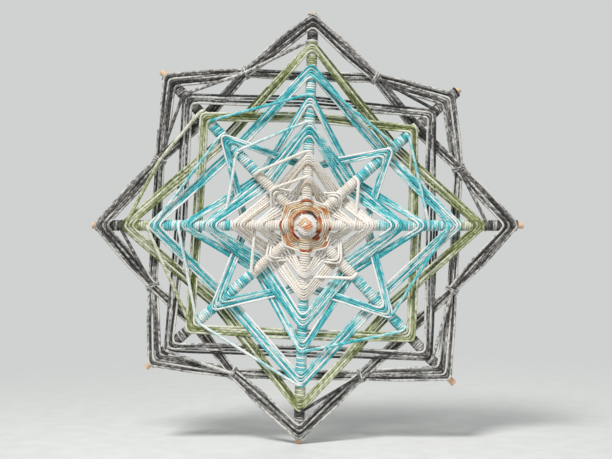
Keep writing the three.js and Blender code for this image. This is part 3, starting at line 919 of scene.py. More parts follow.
@dataclass
class Weave:
    """Lays the bands in winding order, each one taut behind those laid before it.

    Stray is how far a pass may lie off its place, and lift how far a round may ride low or high over
    the spokes. The apex of a corner lies a little further out and forward. The yarn's own unevenness
    is a wobble, with a wave length and a shift for each direction.
    """

    stray: float = 0.45
    tied_stray: float = 0.5
    lift: tuple[float, float] = (-0.15, 0.35)
    apex_out: float = 0.8
    apex_forward: float = 0.3
    wobble: float = 0.14
    waves: tuple[tuple[float, float], ...] = ((17, 31), (13, 57), (19, 83))
    contrast: float = 2.4
    least_depth: float = 1.0
    clear_of_shoulder: float = 0.5
    clear_of_knot: float = 0.8
    seed: int = 41
    laid: list[np.ndarray] = field(default_factory=list)

    def __post_init__(self) -> None:
        """Starts the random draws."""
        self.rng = np.random.default_rng(self.seed)

    def limits(self, route: list[np.ndarray]) -> tuple[list[tuple[float, float]], float]:
        """Depths that the yarn already laid sets along a plan route.

        Args:
            route: plan points.

        Returns:
            Pairs of place along the route and greatest depth, and the route's length.
        """
        found, travelled = [], 0.0
        laid = np.concatenate(self.laid) if self.laid else np.zeros((0, 6))
        for start, end in zip(route, route[1:]):
            along = end - start
            length = float(np.linalg.norm(along))
            if len(laid):
                across = laid[:, 2:4] - laid[:, 0:2]
                area = along[0] * across[:, 1] - along[1] * across[:, 0]
                area = np.where(np.abs(area) < TINY, np.inf, area)
                offset = laid[:, 0:2] - start
                share = (offset[:, 0] * across[:, 1] - offset[:, 1] * across[:, 0]) / area
                other = (offset[:, 0] * along[1] - offset[:, 1] * along[0]) / area
                met = (share > 0) & (share < 1) & (other > 0) & (other < 1)
                depth = laid[met, 4] + (laid[met, 5] - laid[met, 4]) * other[met]
                found += list(zip(travelled + length * share[met], depth - CROSSING_STEP))
            travelled += length
        return found, travelled

    @staticmethod
    def taut(knots: list[tuple[float, float]]) -> list[tuple[float, float]]:
        """The taut line below all limits.

        Args:
            knots: places and depths, the two ends among them.

        Returns:
            The lower hull of the knots.
        """
        hull: list[tuple[float, float]] = []
        for knot in sorted(knots):
            while len(hull) > 1:
                (a0, d0), (a1, d1) = hull[-2:]
                if (d1 - d0) * (knot[0] - a0) < (knot[1] - d0) * (a1 - a0):
                    break
                hull.pop()
            hull.append(knot)
        return hull

    def half_side(self, route: list[np.ndarray], front: float, far: float) -> list[np.ndarray]:
        """Half a side of a band, from its shoulder beside its own spoke to behind the other cross.

        Args:
            route: plan points from the shoulder on.
            front: depth at the shoulder.
            far: depth at the route's far end.

        Returns:
            Points from the shoulder to the far end.
        """
        found, length = self.limits(route)
        hull = self.taut([(0.0, front), *found, (length, far)])
        knots = [hull[0], *[knot for knot in hull[1:] if knot[0] > self.clear_of_shoulder]]
        flat = np.array(route)
        marks = YarnShop.travelled(flat)
        for mark in marks[1:-1]:
            if all(abs(mark - at) > self.clear_of_knot for at, _ in knots):
                places, depths = zip(*knots)
                knots.append((mark, float(np.interp(mark, places, depths))))
                knots.sort()
        return [spot(np.array([np.interp(at, marks, flat[:, 0]), np.interp(at, marks, flat[:, 1])]), depth)
                for at, depth in knots]

    def far_depth(self, routes: list[list[np.ndarray]], front: float, spoke: float) -> float:
        """How deep a side lies where it passes behind the other cross.

        Args:
            routes: the two half sides that meet there.
            front: depth over the band's own spokes.
            spoke: depth of the other cross.

        Returns:
            The depth.
        """
        depths = []
        for route in routes:
            found, length = self.limits(route)
            fall = math.atan2(front - spoke + OVER_WRAP, length - OVER_WRAP / 2)
            depths += [spoke - OVER_WRAP / math.cos(fall), *[depth for _, depth in found]]
        return max(min(depths), self.least_depth)

    def round_knots(self, band: Band, turn: int, over: float, stray: np.ndarray,
                    far: list[float]) -> list[np.ndarray]:
        """Winds one round of a band.

        Args:
            band: the band.
            turn: which round.
            over: depth over the band's own spokes.
            stray: how far each pass strays outwards.
            far: depth of each side behind the other cross.

        Returns:
            The round's broken line.
        """
        knots: list[np.ndarray] = []
        for index in range(CORNERS * turn, CORNERS * (turn + 1)):
            arriving = self.half_side(band.route(index, -1, stray), over - SHOULDER_DROP, far[index])
            leaving = self.half_side(band.route(index, 1, stray), over - SHOULDER_DROP, far[index + 1])
            apex = spot(band.corner(index) + plan(band.own_spoke(index).angle, self.apex_out),
                        over + self.apex_forward)
            knots += [*arriving[::-1][1 if knots else 0:], apex, *leaving]
        return knots

    def lay(self, band: Band) -> list[Strand]:
        """Winds one band.

        Args:
            band: the band.

        Returns:
            Its yarn, one strand for each round.
        """
        front, behind = band.cross.depth + OVER_WRAP, band.cross.other.depth
        sides = CORNERS * band.rounds
        stray = self.rng.uniform(-self.stray, self.stray, sides + 2) * (self.tied_stray if band.tied else 1)
        lift = self.rng.uniform(*self.lift, band.rounds + 1)
        far = [self.far_depth([band.route(i, 1, stray), band.route(i + 1, -1, stray)], front, behind)
               for i in range(-1, sides)]
        noise, marl = SmoothNoise(seed_of(band.name)), SmoothNoise(band.seed)
        laid, strands, travelled = [], [], 0.0
        for turn in range(band.rounds):
            knots = self.round_knots(band, turn, front + lift[turn], stray, far)
            points, along = YarnShop.spaced(YarnShop.rounded(knots, CORNER_FILLET), RING_STEP)
            uneven = np.column_stack([noise(along / wave + shift * turn) for wave, shift in self.waves])
            # Sway along the band from its seed: partly the yarn's variegated dye, partly painted light and
            # shade on parts of the band.
            change = np.tanh(self.contrast * marl((travelled + along) / band.run))
            strands.append(Strand(points + uneven * self.wobble, band.tints[turn] + band.sway * change,
                                  FINISHES[band.slot].diameter / 2))
            travelled += along[-1]
            flat = np.array(knots)
            laid.append(np.column_stack([flat[:-1, 0], flat[:-1, 2], flat[1:, 0], flat[1:, 2],
                                         -flat[:-1, 1], -flat[1:, 1]]))
        self.laid += laid
        return strands

    def build(self, band: Band, extras: list[Strand]) -> None:
        """Winds a band and makes its mesh.

        Args:
            band: the band.
            extras: loose runs of the same yarn.
        """
        band.strands = self.lay(band)
        made = YarnShop.mesh(f"{band.name}_yarn", band.strands + extras)
        dress(made, FINISHES[band.slot], f"{band.name}_band")


@dataclass(frozen=True)
class Traveller:
    """A single yarn that leaves one band for the next, from spoke to spoke or to a tie.

    It is hooked over the front of its spokes, or slips in beside a spoke where it ends under a band.
    A point of the hook is given by how far back along the spoke it lies, by shares of the reach aside
    and forward, and by a last step forward. Fullness is its thickness next to the band's yarn.
    """

    band: str
    start: str
    start_at: float
    end: str
    end_at: float
    tint: float
    via: str = ""
    under: bool = False
    fullness: float = 1.4
    sway: float = 0.2
    run: float = 22.0
    contrast: float = 2.0
    fillet: float = 3.0
    reach: float = OVER_WRAP + 0.1
    hook_points: tuple[tuple[float, float, float, float], ...] = (
        (0.5, -0.66, 0.0, -0.6), (0.2, -0.56, 0.72, 0.0), (0.0, 0.3, 1.0, 0.25))
    tie_points: tuple[tuple[float, float], ...] = ((0.6, 2.2), (0.0, 0.0))
    tuck_aside: float = 0.7
    tuck_back: float = 1.0

    def hook(self, name: str, at: float, turn: int) -> list[np.ndarray]:
        """The yarn's end over a spoke, or its place on a tie.

        Args:
            name: a spoke or a tie.
            at: how far along the spoke.
            turn: 1 if the yarn leaves towards greater angles, -1 if not.

        Returns:
            Points from the hidden end onwards.
        """
        for tie in TIES:
            if tie.name == name:
                return [spot(plan(tie.angle, tie.radius - inward), TIE_DEPTH - back)
                        for inward, back in self.tie_points]
        spoke = spoke_named(name)
        return [spoke.at(at - back, turn * self.reach * aside, spoke.cross.depth + self.reach * rise + step)
                for back, aside, rise, step in self.hook_points]

    def strand(self) -> Strand:
        """Runs the yarn.

        Returns:
            The run, from one hidden end to the other.
        """
        angles = {place.name: place.angle for place in (*SPOKES, *TIES)}
        turn = 1 if (angles[self.end] - angles[self.start]) % 360 < 180 else -1
        far = self.hook(self.end, self.end_at, -turn)[::-1]
        if self.under:
            spoke = spoke_named(self.end)
            aside = -turn * OVER_WRAP * self.tuck_aside
            far = [spoke.at(self.end_at, aside, spoke.cross.depth - self.tuck_back)]
        middle = self.hook(self.via, 0.0, turn)[1:] if self.via else []
        knots = [*self.hook(self.start, self.start_at, turn), *middle, *far]
        points, along = YarnShop.spaced(YarnShop.rounded(knots, self.fillet), RING_STEP)
        noise = SmoothNoise(int(self.start_at * 10 + self.end_at * 7))
        tint = self.tint + self.sway * np.tanh(self.contrast * noise(along / self.run))
        band = next(band for band in BANDS if band.name == self.band)
        return Strand(points, tint, self.fullness * FINISHES[band.slot].diameter / 2)


TRAVELLERS = (
    Traveller("cream_inner_diamond", "upper_left", 34.6, "top", 33.6, 0.95),
    Traveller("cream_outer_diamond", "upper_left", 50.4, "top", 51.8, 0.95),
    Traveller("cream_outer_diamond", "lower_right", 49.4, "bottom", 36.0, 0.97, under=True),
    Traveller("cream_outer_diamond", "lower_left", 50.2, "left", 36.0, 0.97, under=True),
    Traveller("cream_outer_diamond", "upper_right", 48.2, "right", 35.0, 0.97, under=True),
    Traveller("turquoise_upright_star", "upper_left", 70.9, "top", 72.6, 0.8),
    Traveller("turquoise_upright_star", "upper_left", 70.0, "left", 57.0, 0.96, under=True),
    Traveller("turquoise_upright_star", "lower_right", 86.8, "right", 99.6, 0.34),
    Traveller("turquoise_upright_star", "upper_left", 86.8, "left", 105.6, 0.64),
    Traveller("turquoise_upright_star", "upper_right", 83.8, "top", 104.2, 0.5),
    Traveller("turquoise_outer_diamond", "upper_left", 99.4, "top", 91.4, 0.42),
    Traveller("turquoise_outer_diamond", "upper_right", 95.4, "right", 85.4, 0.74),
    Traveller("turquoise_outer_diamond", "lower_right", 100.1, "bottom", 87.8, 0.42),
    Traveller("turquoise_outer_diamond", "left", 88.9, "lower_left", 101.5, 0.86),
    Traveller("turquoise_outer_diamond", "lower_left", 101.5, "bottom", 111.6, 0.88),
    Traveller("green_diamond", "left", 110.6, "lower_left", 107.0, 0.8),
    Traveller("green_diamond", "left", 125.4, "upper_left", 108.5, 0.74, via="tie_upper_left_left"),
    Traveller("grey_diamond", "top", 128.8, "upper_left", 125.0, 0.86, via="tie_top_upper_left"),
    Traveller("grey_diamond", "upper_left", 125.2, "tie_upper_left_left", 0.0, 0.62),
    Traveller("grey_diamond", "left", 129.4, "tie_left_lower_left", 0.0, 0.4),
    Traveller("grey_diamond", "right", 126.0, "tie_right_upper_right", 0.0, 0.42),
    Traveller("grey_diamond", "lower_right", 128.4, "tie_lower_right_right", 0.0, 0.92),
    Traveller("grey_diamond", "lower_left", 131.2, "tie_lower_left_bottom", 0.0, 0.94),
    Traveller("grey_diamond", "upper_right", 121.0, "tie_upper_right_top", 0.0, 0.36),
    Traveller("grey_diamond", "bottom", 129.4, "tie_bottom_lower_right", 0.0, 0.24),
)


@dataclass
class SpokeWraps:
    """Close turns of yarn on the bare stretches of every spoke, and on under the bands.

    A dye is the yarn's place on its dye run and how far it sways.
    """

    pitch: float = 1.62
    radius: float = 0.86
    turn_points: int = 15
    unevenness: float = 0.06
    uneven_waves: float = 1.7
    dye_waves: float = 1.3
    dye_shift: float = 40.0
    contrast: float = 2.2
    dyes: dict[Slot, tuple[float, float]] = field(default_factory=lambda: {
        Slot.CREAM: (0.78, 0.18), Slot.TURQUOISE: (0.62, 0.3),
        Slot.GREEN: (0.8, 0.34), Slot.GREY: (0.46, 0.34)})

    def coil(self, spoke: Spoke, slot: Slot, start: float, end: float) -> Strand:
        """Winds one colour on a spoke.

        Args:
            spoke: the spoke.
            slot: the yarn.
            start: where the coil starts along the spoke.
            end: where it ends.

        Returns:
            The coil.
        """
        turns = max(2, round((end - start) / self.pitch))
        share = np.linspace(0, 1, turns * self.turn_points + 1)
        angle = 2 * np.pi * turns * share + np.pi
        along = start + (end - start) * share
        noise = SmoothNoise(seed_of(spoke.name + slot.value))
        uneven = self.unevenness * noise(share * turns * self.uneven_waves)
        reach = STICK_RADIUS + YARN_DIAMETER / 2 + uneven
        axis, side = plan(spoke.angle, 1), plan(spoke.angle + 90, 1)
        points = np.column_stack([
            along * axis[0] + reach * np.sin(angle) * side[0],
            -spoke.cross.depth - reach * np.cos(angle),
            along * axis[1] + reach * np.sin(angle) * side[1],
        ])
        dye, sway = self.dyes[slot]
        change = np.tanh(self.contrast * noise(share * turns * self.dye_waves + self.dye_shift))
        return Strand(points, dye + sway * change, self.radius, (axis[0], 0.0, axis[1]))

    def build(self) -> None:
        """Winds every colour on every spoke."""
        for spoke in SPOKES:
            for slot, (start, end) in spoke.runs().items():
                node = f"{slot.value.removesuffix('_yarn')}_wrap_{spoke.name}"
                made = YarnShop.mesh(f"{node}_coil", [self.coil(spoke, slot, start, end)])
                dress(made, FINISHES[slot], node)


@dataclass
class Eye:
    """The off-white eye in the middle, with a few orange turns at its heart.

    A layer is how far it lies below the eye's surface, and its outer radius. A stroke is its middle
    to the right of the hub and above it, half its length, its place on the dye run, and how many
    degrees it rises to the right.
    """

    heart: float = 0.55
    edge: float = 7.1
    pitch: float = 1.22
    crown: float = 19.4
    rim: float = 17.2
    fall: float = 1.8
    squareness: float = 1.85
    layers: tuple[tuple[float, float], ...] = ((0.0, 7.1), (1.5, 7.1), (3.4, 11.0))
    turn_points: int = 48
    step: float = 0.8
    dye: float = 0.93
    sway: float = 0.2
    run: float = 9.0
    seed: int = 7
    strokes: tuple[tuple[float, float, float, float, float], ...] = (
        (0.4, 0.1, 4.2, 0.09, 25.0), (1.4, -1.4, 3.8, 0.02, 21.0), (1.8, -2.8, 2.7, 0.11, 17.0),
        (-3.6, 2.9, 4.2, 0.3, 45.0), (-2.5, 1.8, 3.6, 0.24, 43.0),
        (1.4, 3.8, 3.3, 0.31, -39.0), (0.9, 2.4, 2.4, 0.27, -35.0),
    )
    stroke_radius: float = 0.6
    stroke_points: int = 15
    stroke_rise: float = 0.72
    stroke_sink: float = 2.2
    stroke_dome: float = 0.04

    def spiral(self, drop: float, reach: float) -> np.ndarray:
        """A rounded square spiral that falls away from the middle.

        Args:
            drop: how far below the eye's surface it lies.
            reach: its outer radius.

        Returns:
            The line's points.
        """
        turns = (reach - self.heart) / self.pitch
        angle = np.linspace(0, 2 * np.pi * turns, int(turns * self.turn_points))
        grown = self.heart + self.pitch * angle / (2 * np.pi)
        power = self.squareness
        shape = (np.abs(np.cos(angle)) ** power + np.abs(np.sin(angle)) ** power) ** (-1 / power)
        share = np.clip(grown / self.edge, 0, 1)
        depth = self.crown - (self.crown - self.rim) * share ** self.fall - drop
        radius = grown * shape
        return np.column_stack([radius * np.cos(angle), -depth, radius * np.sin(angle)])

    def stroke(self, right: float, up: float, half: float, dye: float, slope: float) -> Strand:
        """One of the short turns that show at the heart.

        Args:
            right: its middle, to the right of the hub.
            up: its middle, above the hub.
            half: half its length.
            dye: its place on the dye run.
            slope: how many degrees it rises to the right.

        Returns:
            The turn, with its ends sunk in the eye.
        """
        at = np.linspace(-1, 1, self.stroke_points)
        turn = math.radians(slope)
        domed = self.stroke_dome * math.hypot(right, up) ** 2
        depth = self.crown + self.stroke_rise - self.stroke_sink * np.abs(at) ** 4 - domed
        points = np.column_stack([
            right + half * at * math.cos(turn), -depth, up + half * at * math.sin(turn)])
        return Strand(points, np.full(len(at), dye), self.stroke_radius)

    def build(self) -> None:
        """Winds the eye over lower layers that fill it."""
        finish = FINISHES[Slot.WHITE]
        strands = [self.stroke(*stroke) for stroke in self.strokes]
        noise = SmoothNoise(self.seed)
        for drop, reach in self.layers:
            points, along = YarnShop.spaced(self.spiral(drop, reach), self.step)
            tint = self.dye + self.sway * noise(along / self.run)
            strands.append(Strand(points, tint, finish.diameter / 2))
        dress(YarnShop.mesh("eye_yarn", strands), finish, "eye_winding")


@dataclass
class Flower:
    """Rounds of grey, rust, orange and cream yarn over all eight spokes, round the eye.

    Tints are the rounds' places on the dye run, from the inside out. An arc colours part of a round:
    its round, the directions where it starts and ends, and its place on the dye run. Some arcs hold
    painted shade: the near-black arcs of the first round are partly charcoal yarn and partly painted
    shadow in the recess round the eye, and the brownish arcs low on the left of the fifth and sixth
    rounds are painted shade on the orange. The rounds sink from the eye outwards, between the spokes
    by the level's fall and over them by the crest's. A hop over a front spoke has its feet and its
    knees beside the spoke.
    """

    start: float = 8.9
    pitch: float = 1.6
    tints: tuple[float, ...] = (0.34, 0.6, 0.68, 0.84, 0.78, 0.8, 0.93)
    arcs: tuple[tuple[int, float, float, float], ...] = (
        # Partly painted shadow: the near-black arcs of round 0 (34 to 82 and 216 to 244 degrees) stand for
        # charcoal yarn and the shadow in the recess round the eye.
        (0, 34, 82, 0.02), (0, 106, 152, 0.27), (0, 152, 182, 0.6), (0, 186, 212, 0.26),
        (0, 216, 244, 0.08), (0, 246, 290, 0.62), (0, 296, 344, 0.17), (0, -14, 18, 0.62),
        (1, 2, 40, 0.31), (1, 304, 352, 0.17), (1, 246, 292, 0.7), (1, 196, 226, 0.42), (1, 50, 80, 0.5),
        (2, 4, 40, 0.9), (2, 306, 352, 0.88), (2, 170, 206, 0.78), (2, 44, 78, 0.5), (2, 208, 240, 0.54),
        (3, 164, 196, 0.99), (3, 208, 240, 0.6), (3, 52, 84, 0.58), (3, 90, 130, 0.64),
        # Painted shade: the brownish arcs of rounds 4 and 5 between about 196 and 240 degrees darken the
        # orange low on the left.
        (4, 160, 198, 1.0), (4, 200, 228, 0.46), (4, 30, 52, 0.38), (4, 112, 150, 0.6), (4, 318, 338, 0.62),
        (5, 304, 330, 0.29), (5, 254, 288, 0.31), (5, 222, 240, 0.4), (5, 196, 212, 0.46),
        (5, 164, 190, 0.23), (5, 132, 158, 0.46), (5, 78, 102, 0.33),
        (5, 26, 48, 0.44), (5, 342, 356, 0.22),
        (6, 256, 276, 0.54), (6, 128, 148, 0.58), (6, 24, 40, 0.58),
    )
    blend: float = 11.0
    sway: float = 0.1
    run: float = 9.0
    arc_sway: float = 0.05
    arc_run: float = 3.0
    ragged: float = 5.0
    ragged_run: float = 4.0
    ragged_shift: float = 50.0
    seed: int = 5
    dye_seed: int = 23
    stray: float = 0.22
    sunk_after: float = 7.0
    level: float = 15.3
    level_fall: float = 4.7
    level_stray: float = 0.3
    crest: float = 15.7
    crest_fall: float = 0.9
    crest_stray: float = 0.2
    foot: float = 3.9
    foot_dip: float = 1.5
    knee: float = 2.3
    knee_dip: float = 0.2
    knee_drop: float = 0.7
    crest_out: float = 0.3
    behind_out: float = 0.9
    behind_aside: float = 0.6
    tail_aside: float = 5.0
    head_in: float = 2.4
    head_depth: float = 13.4
    tail_depth: float = 8.6
    fillet: float = 1.0
    step: float = 0.6

    def hop(self, spoke: Spoke, radius: float, spread: float, low: float, high: float) -> list[np.ndarray]:
        """A pass over a spoke of the front cross.

        Args:
            spoke: the spoke.
            radius: how far from the hub it passes.
            spread: how far the rounds have sunk, from 0 to 1.
            low: depth beside the spoke.
            high: depth over it.

        Returns:
            Points from foot to foot.
        """
        foot, knee = radius - self.foot_dip * spread, radius - self.knee_dip
        return [spoke.at(foot, -self.foot, low), spoke.at(knee, -self.knee, high - self.knee_drop),
                spoke.at(radius + self.crest_out, 0.0, high),
                spoke.at(knee, self.knee, high - self.knee_drop), spoke.at(foot, self.foot, low)]

    def line(self) -> list[np.ndarray]:
        """Winds the flower from the eye outwards.

        Returns:
            The winding's broken line.
        """
        rng, count = np.random.default_rng(self.seed), len(SPOKES)
        knots = [SPOKES[0].at(self.start - self.head_in, -self.tail_aside, self.head_depth)]
        for index in range(count * len(self.tints)):
            spoke = SPOKES[index % count]
            radius = self.start + self.pitch * index / count + rng.uniform(-self.stray, self.stray)
            spread = min(1.0, (radius - self.start) / self.sunk_after)
            low = self.level - self.level_fall * spread + rng.uniform(0, self.level_stray)
            high = self.crest - self.crest_fall * spread + rng.uniform(0, self.crest_stray)
            if spoke.cross is Cross.FRONT:
                knots += self.hop(spoke, radius, spread, low, high)
            else:
                knots += [spoke.at(radius + self.behind_out * spread, aside, low)
                          for aside in (-self.behind_aside, self.behind_aside)]
        last = self.start + self.pitch * (len(self.tints) - 1)
        return [*knots, SPOKES[0].at(last, -self.tail_aside, self.tail_depth)]

    def tint(self, turn: np.ndarray, angle: np.ndarray, along: np.ndarray) -> np.ndarray:
        """Dyes the rounds and their arcs.

        Args:
            turn: the round of each point.
            angle: its direction in degrees.
            along: its distance along the yarn.

        Returns:
            Its place on the dye run.
        """
        noise = SmoothNoise(self.dye_seed)
        tint = np.array(self.tints)[turn] + self.sway * noise(along / self.run)
        ragged = angle + self.ragged * noise(along / self.ragged_run + self.ragged_shift)
        for which, low, high, shade in self.arcs:
            away = np.abs((ragged - (low + high) / 2 + 180) % 360 - 180)
            share = np.clip(((high - low) / 2 - away) / self.blend + 0.5, 0, 1) * (turn == which)
            tint = tint + (shade + self.arc_sway * noise(along / self.arc_run) - tint) * share
        return tint

    def build(self) -> None:
        """Winds and dyes the flower."""
        finish = FINISHES[Slot.ORANGE]
        points, along = YarnShop.spaced(YarnShop.rounded(self.line(), self.fillet), self.step)
        angle = np.degrees(np.arctan2(points[:, 2], points[:, 0]))
        turned = np.unwrap(np.radians(angle)) / (2 * np.pi)
        turn = np.clip(np.floor(turned - turned[0] + TINY).astype(int), 0, len(self.tints) - 1)
        strand = Strand(points, self.tint(turn, angle, along), finish.diameter / 2)
        dress(YarnShop.mesh("flower_yarn", [strand]), finish, "flower_winding")


@dataclass
class Hub:
    """The lashing that binds the front cross to the back one, hidden under the eye."""

    reach: float = 8.4
    tail: float = 3.0
    first: float = 20.8
    second: float = 110.6
    under_first: float = 1.65
    over_first: float = 1.2
    fillet: float = 1.6
    dye: float = 0.6
    sway: float = 0.2
    run: float = 10.0
    seed: int = 3
    across: tuple[float, float, float] = (0.31, 0.22, 0.92)

    def build(self) -> None:
        """Makes two loops at right angles round the crossing."""
        first, second, reach = self.first, self.second, self.reach
        back, front = BACK_DEPTH - OVER_STICK, FRONT_DEPTH + OVER_STICK
        under, over = back - self.under_first, front + self.over_first
        route = (
            (first + 180, self.tail, back), (first, reach, back), (first, reach, front),
            (first + 180, reach, front), (first + 180, reach, under),
            (second + 180, reach, under), (second + 180, reach, over),
            (second, reach, over), (second, reach, under), (second, self.tail, under),
        )
        knots = [spot(plan(angle, radius), depth) for angle, radius, depth in route]
        points, along = YarnShop.spaced(YarnShop.rounded(knots, self.fillet), RING_STEP)
        tint = self.dye + self.sway * SmoothNoise(self.seed)(along / self.run)
        strand = Strand(points, tint, across=self.across)
        dress(YarnShop.mesh("hub_yarn", [strand]), FINISHES[Slot.CREAM], "hub_lashing")


@dataclass
class Lashings:
    """Ties of pale grey yarn where the two outermost bands cross."""

    turns: int = 2
    turn_points: int = 28
    pitch: float = 1.5
    radius: float = 0.62
    spread: float = 2.6
    reach: float = 6.0
    clear_aside: float = 0.9
    clear_deep: float = 1.2
    dye: float = 0.72
    sway: float = 0.24

    @staticmethod
    def loop(found: np.ndarray, clear: float, wave: np.ndarray) -> np.ndarray:
        """Runs round what it ties, along one direction.

        Args:
            found: where the tied yarn lies in that direction.
            clear: how far the tie stays from it.
            wave: the loop's share of its reach, from -1 to 1.

        Returns:
            The loop's places in that direction.
        """
        high, low = found.max(), found.min()
        return (high + low) / 2 + ((high - low) / 2 + clear) * wave

    def build(self, bands: list[Band]) -> None:
        """Ties each crossing round the yarn that lies there.

        Args:
            bands: the tied bands, already wound.
        """
        cloud = np.concatenate([strand.points for band in bands for strand in band.strands])
        angle = np.linspace(0, 2 * np.pi * self.turns, self.turns * self.turn_points)
        along = self.pitch * (angle / (2 * np.pi) - self.turns / 2)
        for tie in TIES:
            centre = plan(tie.angle, tie.radius)
            radial, side = plan(tie.angle, 1), plan(tie.angle + 90, 1)
            offset = cloud[:, [0, 2]] - centre
            near = (np.abs(offset @ side) < self.spread) & (np.abs(offset @ radial) < self.reach)
            away = self.loop(offset[near] @ radial, self.clear_aside, np.cos(angle))
            depth = self.loop(-cloud[near, 1], self.clear_deep, np.sin(angle))
            flat = centre + away[:, None] * radial + along[:, None] * side
            points = np.column_stack([flat[:, 0], -depth, flat[:, 1]])
            tint = self.dye + self.sway * SmoothNoise(int(tie.angle))(angle / 2)
            strand = Strand(points, tint, self.radius, (side[0], 0.0, side[1]))
            dress(YarnShop.mesh(f"{tie.name}_yarn", [strand]), FINISHES[Slot.GREY], tie.name)


@dataclass
class Sticks:
    """Four bare dowels with eased ends, half-lapped in pairs. Each runs along one named spoke."""

    sides: int = 48
    ease: float = 0.35
    ease_steps: int = 3
    notch_play: float = 0.6
    notch_overlap: float = 0.15
    smooth_under: float = 40.0
    spokes: dict[str, Spoke] = field(default_factory=lambda: {
        "level_stick": spoke_named("right"), "rising_stick": spoke_named("upper_right"),
        "upright_stick": spoke_named("top"), "falling_stick": spoke_named("upper_left")})

    def build(self) -> None:
        """Turns, eases and notches every stick."""
        for name, spoke in self.spokes.items():
            made = self.dowel(name, spoke)
            self.notch(made, name, spoke)
            dress(made, WoodFinish(), name)

    def ends(self, name: str, angle: float) -> tuple[float, float]:
        """How far a stick reaches on each side of the hub.

        Args:
            name: the stick's solid.
            angle: its direction.

        Returns:
            The reach behind the hub, below zero, and the reach ahead of it.
        """
        low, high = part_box(name)
        level, upright = math.cos(math.radians(angle)), math.sin(math.radians(angle))
        axis, share = (0, level) if abs(level) > 0.5 else (2, upright)
        edge = (STICK_RADIUS - self.ease) * math.sqrt(max(0.0, 1 - share * share))
        ends = [(low[axis] / MM + edge) / share, (high[axis] / MM - edge) / share]
        return min(ends), max(ends)

    def dowel(self, name: str, spoke: Spoke) -> bpy.types.Object:
        """Makes one dowel with eased ends.

        Args:
            name: the stick's solid.
            spoke: the spoke that it runs along.

        Returns:
            The dowel, with its place in its mesh.
        """
        low, high = self.ends(name, spoke.angle)
        bpy.ops.object.select_all(action="DESELECT")
        middle = spot(plan(spoke.angle, (low + high) / 2), spoke.cross.depth) * MM
        bpy.ops.mesh.primitive_cylinder_add(
            vertices=self.sides, radius=STICK_RADIUS * MM, depth=(high - low) * MM, location=middle,
            rotation=(0, math.radians(90 - spoke.angle), 0))
        made = bpy.context.active_object
        made.name = made.data.name = f"{name}_dowel"
        rims = {tuple(sorted(key)) for face in made.data.polygons
                if len(face.vertices) > 4 for key in face.edge_keys}
        bpy.ops.object.mode_set(mode="EDIT")
        bpy.ops.mesh.select_mode(type="EDGE")
        bpy.ops.mesh.select_all(action="DESELECT")
        bpy.ops.object.mode_set(mode="OBJECT")
        for edge in made.data.edges:
            edge.select = tuple(sorted(edge.vertices)) in rims
        bpy.ops.object.mode_set(mode="EDIT")
        bpy.ops.mesh.bevel(offset=self.ease * MM, segments=self.ease_steps, affect="EDGES")
        bpy.ops.object.mode_set(mode="OBJECT")
        bpy.ops.object.transform_apply(location=True, rotation=True, scale=True)
        return made

    def notch(self, made: bpy.types.Object, name: str, spoke: Spoke) -> None:
        """Cuts the half-lap for the other stick of the cross.

        Args:
            made: the dowel.
            name: the stick's solid.
            spoke: the spoke that it runs along.
        """
        pair = [key for key, other in self.spokes.items() if other.cross is spoke.cross]
        mate = self.spokes[pair[1] if pair[0] == name else pair[0]]
        width = 2 * STICK_RADIUS + self.notch_play
        shift = (width / 2 - self.notch_overlap) * (1 if pair[0] == name else -1)
        bpy.ops.object.select_all(action="DESELECT")
        bpy.ops.mesh.primitive_cube_add(
            size=1, location=spot(np.zeros(2), spoke.cross.depth + shift) * MM,
            rotation=(0, -math.radians(mate.angle), 0))
        cutter = bpy.context.active_object
        cutter.scale = (4 * STICK_RADIUS * MM, width * MM, width * MM)
        bpy.ops.object.select_all(action="DESELECT")
        made.select_set(True)
        bpy.context.view_layer.objects.active = made
        cut = made.modifiers.new("half_lap", "BOOLEAN")
        cut.operation = "DIFFERENCE"
        cut.object = cutter
        bpy.ops.object.modifier_apply(modifier=cut.name)
        bpy.data.objects.remove(cutter, do_unlink=True)
        bpy.ops.object.shade_smooth_by_angle(angle=math.radians(self.smooth_under))


@dataclass(frozen=True)
class Lamp:
    """A large soft lamp that faces the hub: its place and side in metres, its power in watts."""

    name: str
    place: tuple[float, float, float]
    side: float
    power: float

    def hang(self) -> None:
        """Hangs the lamp."""
        data = bpy.data.lights.new(self.name, "AREA")
        data.shape = "SQUARE"
        data.size = self.side
        data.energy = self.power
        lamp = bpy.data.objects.new(self.name, data)
        bpy.context.scene.collection.objects.link(lamp)
        lamp.location = self.place
        x, y, z = self.place
        lamp.rotation_euler = (math.atan2(math.hypot(x, y), z), 0, math.atan2(-y, -x) - math.pi / 2)


